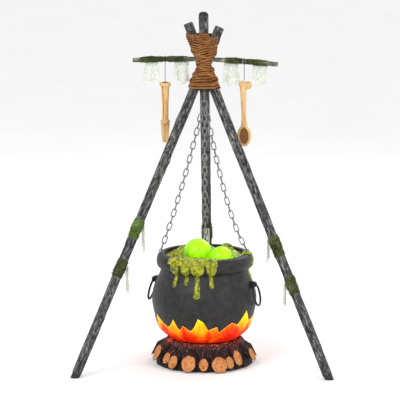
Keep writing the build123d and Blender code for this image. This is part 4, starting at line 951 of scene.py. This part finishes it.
def make_strings():
    """Each utensil's string: a straight drop from the crossbar, under a few turns round it."""
    for name, body in (("fork_string", "fork"), ("spoon_string", "spoon")):
        low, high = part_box(name)
        x = (low.x + high.x) / 2
        thick = (high.x - low.x) / 2
        coil = (high.y - low.y) / 2 - thick
        exit_z = high.z - 2 * (coil + thick) + thick
        turns = []
        for i in range(150):
            angle = 2 * pi * 3 * i / 149
            height = high.z - thick - coil + coil * sin(angle)
            turns.append((x - 2.4 * MM + 4.8 * MM * i / 149, coil * cos(angle), height))
        wrap = make_object(f"{name}_turns", *tube_mesh(turns, thick, 8, shape=twisted(6 * MM)))
        finish_piece(wrap, body, STRING)
        curve = bpy.data.curves.new(f"{name}_line", "CURVE")
        curve.dimensions = "3D"
        spline = curve.splines.new("NURBS")
        drop = exit_z - low.z
        points = [(x, 0, exit_z), (x, 0, exit_z - drop * 0.5), (x, 0, low.z)]
        spline.points.add(len(points) - 1)
        for point, place in zip(spline.points, points):
            point.co = (*place, 1)
        spline.order_u = 3
        spline.use_endpoint_u = True
        curve.bevel_depth = thick
        curve.bevel_resolution = 3
        curve.resolution_u = 24
        line = finish_piece(add_object(f"{name}_line", curve), body, STRING, [name])


# ================= Cauldron surface
class Pot:
    """The cauldron's outer surface, read from its CAD mesh at a clear angle."""

    def __init__(self):
        mesh = frame["nodes"]["cauldron_body"].data
        self.tree = BVHTree.FromPolygons([v.co for v in mesh.vertices],
                                         [p.vertices for p in mesh.polygons])
        self.heights = np.arange(BODY_LOW.z + 12 * MM, BODY_HIGH.z - 1 * MM, 3 * MM)
        self.radii = np.array([self.cast(z) for z in self.heights])

    def cast(self, z):
        outward = around(radians(45))
        hit = self.tree.ray_cast(outward * 0.4 + Vector((0, 0, z)), -outward)[0]
        return hypot(hit.x, hit.y)

    def radius(self, z):
        return float(np.interp(z, self.heights, self.radii))

    def slope(self, z):
        return (self.radius(z + 3 * MM) - self.radius(z - 3 * MM)) / (6 * MM)

    def point(self, angle, z, out=0.0):
        """On the surface at an angle from the front, moved out along the surface's normal."""
        slope = self.slope(z)
        scale = 1 / sqrt(1 + slope * slope)
        return polar(self.radius(z) + out * scale, angle, z - out * slope * scale)


POT = Pot()
# flame outlines: angle from the front, height, how hollow the edge is towards the next point
YELLOW_FLAMES = [(-67, 226, 1.3), (-47, 182, 1.6), (-36, 221, 1.8), (-27, 172, 1.2), (-15, 178, 1.7),
                 (-5.5, 232, 0.8), (1, 215, 1.0), (6.5, 180, 0.8), (17, 195, 1.0), (20, 162, 1.6),
                 (39, 184, 1.4), (56, 251, 1.0), (65, 202, 1.4), (82, 215, 1.8), (92, 176, 1.8),
                 (104, 238, 1.0), (116, 172, 1.6), (130, 210, 1.8), (141, 180, 1.8), (153, 230, 0.9),
                 (165, 176, 1.4), (176, 204, 1.8),
                 (187, 178, 1.8), (200, 242, 0.9), (212, 174, 1.5), (225, 208, 1.8), (235, 176, 1.8),
                 (249, 234, 1.0), (262, 174, 1.5), (274, 206, 1.8), (284, 180, 1.8)]
RED_FLAMES = [(-81, 204, 1.6), (-71, 160, 1.6), (-56, 197, 1.6), (-38, 150, 1.5), (-24, 198, 0.9),
              (-4, 140, 1.4), (7, 183, 1.6), (14, 150, 1.3), (20, 169, 0.9), (35, 208, 1.0),
              (41, 200, 1.0), (53, 166, 1.6), (67, 204, 1.6), (78, 156, 1.5), (92, 196, 1.6),
              (105, 150, 1.5), (118, 192, 1.6), (131, 150, 1.5), (142, 198, 1.6), (155, 146, 1.5),
              (168, 190, 1.6), (178, 152, 1.5), (189, 194, 1.6), (202, 148, 1.5), (214, 196, 1.6),
              (226, 150, 1.5), (238, 192, 1.6), (252, 150, 1.5), (264, 194, 1.6)]


def flame_edge(angle, outline):
    """Height of an outline here: sharp at the tips, each side more or less hollow."""
    for (a, height, bend), (b, following, _) in zip(outline, outline[1:] + outline[:1]):
        turn = (angle - a) % 360
        gap = (b - a) % 360
        if turn < gap:
            u = turn / gap
            share = u ** bend if following > height else 1 - (1 - u) ** bend
            return (height + (following - height) * share) * MM
    return outline[0][1] * MM


def flame_layer(batch, outline, out, bottom, shade):
    """One layer of flames standing out from the belly; shade(z, edge) is 0 for yellow, 1 for red."""
    rows, columns = 26, 900
    verts, depth, edge_highlight = [], [], []
    for _, j, t, _ in wound(rows, columns):
        angle = -90 + 360 * j / columns
        edge = flame_edge(angle, outline)
        z = bottom + (edge - bottom) * t
        ridge = out * (0.35 + 0.65 * sin(pi * min(t * 0.5 + 0.5, 1.0)) ** 0.5)
        ridge += rumple((angle * 3.6 * MM, z * 0.5, out), 14 * MM, 0.5 * MM)
        verts.append(POT.point(angle, z, max(ridge, 0.5 * MM)))
        depth.append(shade(z, edge))
        # where the painted highlight along the outline falls
        edge_highlight.append(min((edge - z) / (6 * MM), 1.0))
    batch.add(verts, grid_faces(rows, columns), verts, depth=depth, edge=edge_highlight)


def make_flames():
    """Yellow tongues licking up the belly with red ones in front of them."""
    batch = Batch()
    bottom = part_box("flame_skin")[0].z
    flame_layer(batch, YELLOW_FLAMES, 2.2 * MM, bottom,
                lambda z, edge: min(max((0.232 - z) / 0.118, 0.0), 1.0))
    flame_layer(batch, RED_FLAMES, 3.2 * MM, bottom,
                lambda z, edge: min(0.66 + (edge - z) / 0.17, 1.0))
    finish_piece(batch.build("flame_tongues"), "cauldron", FLAME, ["flame_skin"])


# ================= Slime
DOMES = {name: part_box(name) for name in ("big_bubble", "small_bubble")}


def dome_facts(name):
    low, high = DOMES[name]
    radius = (high.x - low.x) / 2
    return Vector(((low.x + high.x) / 2, (low.y + high.y) / 2, high.z - radius)), radius


def make_bubbles():
    """Domes of thin plastic lit by lamps under them: smooth, glossy, with painted light that makes them
    brighter on the front right side and towards the top.
    """
    for name in DOMES:
        centre, radius = dome_facts(name)
        low = DOMES[name][0].z
        rows, columns = 60, 96
        verts, glow = [], []
        for _, _, t, angle in wound(rows, columns):
            if t < 0.2:
                r, z = radius, low + (centre.z - low) * t / 0.2
            else:
                lift = (t - 0.2) / 0.8 * pi / 2
                r, z = radius * cos(lift), centre.z + radius * sin(lift)
            r *= 1 - 0.008 * abs(noise.noise(around(angle, 2, t * 4)))
            verts.append(Vector((centre.x + cos(angle) * r, centre.y + sin(angle) * r, z)))
            # painted light: the glow rises on the front right side and towards the top
            side = 0.5 + 0.5 * cos(angle - radians(300))
            glow.append(0.25 + 0.55 * side + 0.35 * (z - low) / (2 * radius))
        piece = make_object(f"{name}_dome", verts, grid_faces(rows, columns), verts, glow=glow)
        finish_piece(piece, name, BUBBLE, [name])


def lit_by_domes(point):
    """How strongly the lamps under the domes light the slime here."""
    near = 0.0
    for name in DOMES:
        centre, radius = dome_facts(name)
        away = max(hypot(point[0] - centre.x, point[1] - centre.y) - radius, 0)
        near = max(near, exp(-away / (26 * MM)))
    return near * (0.35 if point[0] < -85 * MM else 1.0)


def make_pool():
    """The slime's surface: swirls, lumps and small bubbles, open where the domes rise."""
    low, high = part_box("slime_pool")
    radius = (high.x - low.x) / 2
    lumps = [(-112 * MM, -34 * MM, 46 * MM, 34 * MM), (-96 * MM, 84 * MM, 40 * MM, 26 * MM),
             (128 * MM, -42 * MM, 24 * MM, 12 * MM), (20 * MM, -118 * MM, 26 * MM, 10 * MM),
             (104 * MM, 78 * MM, 40 * MM, 24 * MM), (-40 * MM, -95 * MM, 30 * MM, 9 * MM),
             (10 * MM, 128 * MM, 46 * MM, 22 * MM)]
    bubbles = [(rng.uniform(0.05, 0.155), rng.uniform(0, 2 * pi), rng.uniform(5, 11) * MM)
               for _ in range(34)]
    spots = [(r * cos(a), r * sin(a), size) for r, a, size in bubbles]
    domes = [dome_facts(name) for name in DOMES]
    count = 190
    verts, lit, index, faces = [], [], {}, []
    axis = np.linspace(-radius, radius, count)

    def surface(x, y):
        z = POOL_TOP + 1.5 * MM + rumple((x, y, 0), 45 * MM, 5 * MM)
        for lx, ly, size, height in lumps:
            z += height * exp(-((x - lx) ** 2 + (y - ly) ** 2) / (size * 0.62) ** 2)
        for sx, sy, size in spots:
            away = hypot(x - sx, y - sy)
            if away < size:
                z = max(z, z + sqrt(size * size - away * away) * 0.8)
        return max(z, POOL_TOP + 0.5 * MM)

    for i, x in enumerate(axis):
        for j, y in enumerate(axis):
            reach = hypot(x, y)
            px, py = x, y
            if reach > radius - 1 * MM:
                if reach > radius + 2.6 * MM:
                    continue
                px, py = x * (radius - 0.8 * MM) / reach, y * (radius - 0.8 * MM) / reach
            if any(hypot(px - c.x, py - c.y) < r + 1.4 * MM for c, r in domes):
                centre, r = min(domes, key=lambda d: hypot(px - d[0].x, py - d[0].y) - d[1])
                away = hypot(px - centre.x, py - centre.y)
                if away < r - 1.0 * MM:
                    continue
                px = centre.x + (px - centre.x) / away * (r + 1.4 * MM)
                py = centre.y + (py - centre.y) / away * (r + 1.4 * MM)
            index[i, j] = len(verts)
            verts.append(Vector((px, py, surface(px, py))))
            lit.append(lit_by_domes((px, py)))
    for i in range(count - 1):
        for j in range(count - 1):
            corners = [(i, j), (i + 1, j), (i + 1, j + 1), (i, j + 1)]
            if all(c in index for c in corners):
                faces.append([index[c] for c in corners])
    piece = make_object("slime_surface", verts, faces, verts, lit=lit)
    finish_piece(piece, "cauldron", SLIME, ["slime_pool"])


# runs of slime: angle from the front, half width on the rim, half width of the tail, lowest point
DRIPS = [(-37, 21, 8, 355), (-22, 20, 8.5, 369), (-7, 30, 12, 316), (10.5, 21, 9, 360),
         (88, 24, 10, 362), (150, 20, 9, 352), (196, 26, 11, 330)]
SHELF = (-49, 18)  # angles between which the slime lies over the rim
SHELF_Z = 452 * MM  # how far down the outside of the rim it lies there
RIM_UNDER_Z = 413 * MM  # under the rim, where a run narrows to its tail
RUN_R = 0.198  # a run's distance from the pot's axis, which turns its angle into a width


def rim_path():
    """The section line from the slime over the rim and down the belly: radius, height and outward normal."""
    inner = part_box("slime_pool")[1].x
    top = BODY_HIGH.z
    crest = POT.radius(top - 14 * MM)
    points = [(inner - 3 * MM, POOL_TOP + 2 * MM), (inner - 1 * MM, top - 4 * MM),
              (inner + 6 * MM, top + 0.5 * MM), ((inner + crest) / 2, top + 0.3 * MM),
              (crest - 5 * MM, top - 3 * MM)]
    points += [(POT.radius(z), z) for z in np.arange(top - 9 * MM, 0.310, -3 * MM)]
    line = np.array(smooth_profile(points, 3))
    along = np.gradient(line, axis=0)
    along /= np.linalg.norm(along, axis=1)[:, None]
    normal = np.stack([-along[:, 1], along[:, 0]], 1)
    return line, normal


def drip_depth(angle, z, s):
    """Thickness of the slime that has run over the rim here, s steps along the rim's section."""
    total = 0.0
    for at, half, tail, low in DRIPS:
        half, tail, low = half * MM, tail * MM, low * MM
        wander = 1.8 * MM * sin(z * 60 + at) * min(max((0.42 - z) / 0.02, 0), 1)
        away = ((angle - at + 180) % 360 - 180) * radians(1) * RUN_R - wander
        t = min(max((z - RIM_UNDER_Z) / 0.026, 0), 1)
        if z < low:
            continue
        end = min((z - low) / (1.3 * tail), 1)
        width = tail * (0.86 + 0.30 * max((low + 0.030 - z) / 0.030, 0))
        width += (half - tail) * sqrt(1 - (1 - t) ** 2)
        width *= sqrt(1 - (1 - end) ** 2) + 0.01
        side = 1 - (away / width) ** 2
        if side <= 0:
            continue
        swell = 8.5 if z > 0.425 else 6.0
        depth = side ** 0.42 * swell * MM * sqrt(1 - (1 - end) ** 2)
        total = max(total, depth)
    left, right = SHELF
    if z > SHELF_Z or s < 8:
        over = min(max((angle - left) / 5, 0), max((right - angle) / 5, 0), 1)
        lumps = 0.85 + 0.3 * noise.noise(Vector((angle * 0.09, s * 0.2, 2)))
        total = max(total, over * 5.0 * MM * lumps)
    return total


def make_drips():
    line, normal = rim_path()
    columns = 760
    grid, verts, lit, faces = {}, [], [], []
    for i, ((r, z), (nr, nz)) in enumerate(zip(line, normal)):
        for j in range(columns):
            angle = 360 * j / columns - 180
            depth = drip_depth(angle, z, i)
            depth *= 1 + 0.12 * noise.noise(Vector((angle * 0.3, z * 60, 3)))
            if depth <= 0.35 * MM:
                depth = 0.0
            grid[i, j] = (polar(r + nr * depth, angle, z + nz * depth), depth)
    index = {}
    for i in range(len(line) - 1):
        for j in range(columns):
            corners = [(i, j), (i + 1, j), (i + 1, (j + 1) % columns), (i, (j + 1) % columns)]
            if max(grid[c][1] for c in corners) <= 0:
                continue
            for corner in corners:
                if corner not in index:
                    index[corner] = len(verts)
                    point, _ = grid[corner]
                    verts.append(point)
                    over = max(1 - corner[0] / 18, 0)
                    lit.append(0.55 * over * lit_by_domes(point) + 0.05)
            faces.append([index[c] for c in corners])
    piece = make_object("slime_runs", verts, faces, verts, lit=lit)
    finish_piece(piece, "cauldron", SLIME, ["slime_drips"])


# ================= Log base
# logs: angle from the front, half width; of the cut end: half height, reach, height of its centre
LOGS = [(-96, 26, 33, 214, 52), (-67, 31, 36, 214, 58), (-46, 20, 26, 214, 49), (-36, 23, 31, 216, 38),
        (-16, 32, 38, 217, 38), (1, 20, 28, 213, 35), (19, 36, 35, 218, 34), (32, 20, 28, 214, 39),
        (43, 22, 36, 214, 54), (71, 27, 30, 217, 50), (97, 24, 30, 212, 48), (118, 27, 33, 215, 40),
        (140, 21, 27, 213, 36), (-140, 24, 30, 214, 38), (-119, 21, 27, 213, 42)]
LOG_SLOPE = radians(28)  # how steeply a log runs down and outward
LOG_LEAN = radians(25)  # how far its cut end faces up
RING_FOOT_R = 0.203
RING_TOP_R = 0.157
RING_SIDE = 0.72  # share of the ring's rows that are on its side, below its top


def fire_light_at(point):
    """How much of the fire's light the bark catches: only close under the flames."""
    return min(max((point.z - 88 * MM) / (24 * MM), 0), 1) ** 1.2


def add_log(bark, cuts, seed, angle, half_width, half_height, reach, height):
    """One log: its bark, and its cut end slightly hollowed between the growth rings."""
    outward = polar(1, angle)
    axis = outward * cos(LOG_SLOPE) + Vector((0, 0, -sin(LOG_SLOPE)))
    facing = outward * cos(LOG_LEAN) + Vector((0, 0, sin(LOG_LEAN)))
    across = Vector((-outward.y, outward.x, 0))
    upright = across.cross(axis) * -1
    middle = outward * reach * MM + Vector((0, 0, height * MM))
    half_thick = half_height * cos(LOG_SLOPE + LOG_LEAN)
    rows, columns = 34, 44
    verts, grain = [], []
    for _, _, t, turn in wound(rows, columns):
        ridge = noise.fractal(around(turn, 2.2, t * 1.2 + seed * 7), 0.8, 2.2, 4)
        swell = (0.97 + 0.10 * ridge) * MM
        off = across * cos(turn) * half_width * swell + upright * sin(turn) * half_thick * swell
        s = -off.dot(facing) / axis.dot(facing) - 100 * MM * (1 - t)
        point = middle + off + axis * s
        point.z = max(point.z, 0.6 * MM)
        verts.append(point)
        grain.append((off.dot(across), off.dot(upright), s + seed))
    bark.add(verts, grid_faces(rows, columns), grain, ember=[fire_light_at(v) for v in verts])
    rim = verts[-columns:]
    centre = sum(rim, Vector()) / columns
    rings = 9
    verts, ring_value = [], []
    for i in range(rings):
        share = 1 - i / rings
        for j, edge in enumerate(rim):
            bulge = 1.6 * MM * noise.noise(Vector((j * 0.4, i * 0.9, seed))) * (i > 0)
            hollow = facing * (abs(bulge) + 0.4 * MM * (i > 0))
            verts.append(centre + (edge - centre) * share - hollow)
            ring_value.append(share)
    faces = grid_faces(rings, columns) + [tuple(range(len(verts) - columns, len(verts)))]
    cuts.add(verts, faces, verts, ring=ring_value)


def add_ring(bark):
    """The charred mound that the logs stick out of, open where the battery box comes through."""
    rows, columns = 30, 300
    verts = []
    for i, j, t, _ in wound(rows, columns):
        angle = 360 * j / columns
        lump = rumple(polar(1, angle), 0.11, 5 * MM, i * 0.13)
        if t < RING_SIDE:
            r = RING_FOOT_R - (RING_FOOT_R - RING_TOP_R) * (t / RING_SIDE) ** 1.5
            z = 1 * MM + 107 * MM * t / RING_SIDE
        else:
            u = (t - RING_SIDE) / (1 - RING_SIDE)
            r, z = RING_TOP_R - 6 * MM * u, (108 + 5 * sin(pi * u / 2)) * MM - 3 * MM * u
        verts.append(polar(r + min(lump, 3 * MM), angle, min(max(z + lump * 0.4, 0.6 * MM), 114 * MM)))
    low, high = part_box("battery_box")
    faces = []
    for face in grid_faces(rows, columns):
        xs, ys, zs = zip(*(verts[i] for i in face))
        beside = low.x - 4 * MM < max(xs) and min(xs) < high.x + 4 * MM
        if not (beside and min(zs) < high.z + 3 * MM and min(ys) > 0):
            faces.append(face)
    grain = [(v.x, v.y, v.z * 4) for v in verts]
    bark.add(verts, faces, grain, ember=[fire_light_at(v) for v in verts])


def make_logs():
    bark, cuts = Batch(), Batch()
    for seed, log in enumerate(LOGS):
        add_log(bark, cuts, seed, *log)
    add_ring(bark)
    finish_piece(bark.build("log_bark"), "cauldron", LOG, ["log_ring"])
    finish_piece(cuts.build("log_ends"), "cauldron", CUT)


# ================= Camera, light and floor
def make_stage():
    corners = [(-40, -40, 0), (40, -40, 0), (40, 40, 0), (-40, 40, 0)]
    floor = make_object("floor", corners, [(0, 1, 2, 3)])
    floor.data.materials.append(plain_shader("pale_floor", (0.90, 0.90, 0.90), 0.8, 0.4, 0.05 * MM, 0.01))


def make_light(name, place, target, size, power):
    data = bpy.data.lights.new(name, "AREA")
    data.shape = "DISK"
    data.size = size
    data.energy = power
    light = add_object(name, data)
    light.location = place
    light.rotation_euler = (Vector(target) - Vector(place)).to_track_quat("-Z", "Y").to_euler()


VIEW_TURN = radians(1.8)  # the camera stands this far round to the right of the front
VIEW_RISE = radians(11.0)
VIEW_DISTANCE = 16.0
VIEW_WIDTH = 1.684  # how wide the camera sees at the object
AIM = Vector((-0.018, 0, 0.698))


def make_camera():
    data = bpy.data.cameras.new("camera")
    data.sensor_width = 36
    data.lens = 36 * VIEW_DISTANCE / VIEW_WIDTH
    data.clip_end = 60
    camera = add_object("camera", data)
    away = Vector((sin(VIEW_TURN) * cos(VIEW_RISE), -cos(VIEW_TURN) * cos(VIEW_RISE), sin(VIEW_RISE)))
    camera.location = AIM + away * VIEW_DISTANCE
    camera.rotation_euler = (-away).to_track_quat("-Z", "Y").to_euler()
    bpy.context.scene.camera = camera


def make_world():
    world = bpy.data.worlds.new("studio")
    world.use_nodes = True
    background = world.node_tree.nodes["Background"]
    background.inputs["Color"].default_value = (1.0, 1.0, 1.0, 1)
    background.inputs["Strength"].default_value = 1.0
    bpy.context.scene.world = world
    bpy.context.scene.view_settings.view_transform = "Standard"


dress_cad_nodes()
make_camera()
make_strings()
make_poles()
make_crossbar()
make_lashing()
make_moss()
make_lashing_moss()
make_gauze()
make_fork_grip()
make_fork_tines()
make_spoon()
make_flames()
make_bubbles()
make_pool()
make_drips()
make_logs()
make_stage()
make_world()
make_light("key", (-2.2, -3.4, 3.6), (0, 0, 0.6), 2.4, 95)
make_light("fill", (3.4, -2.6, 2.0), (0, 0, 0.6), 2.6, 40)
make_light("rim", (1.6, 3.2, 3.0), (0, 0, 0.8), 2.0, 40)
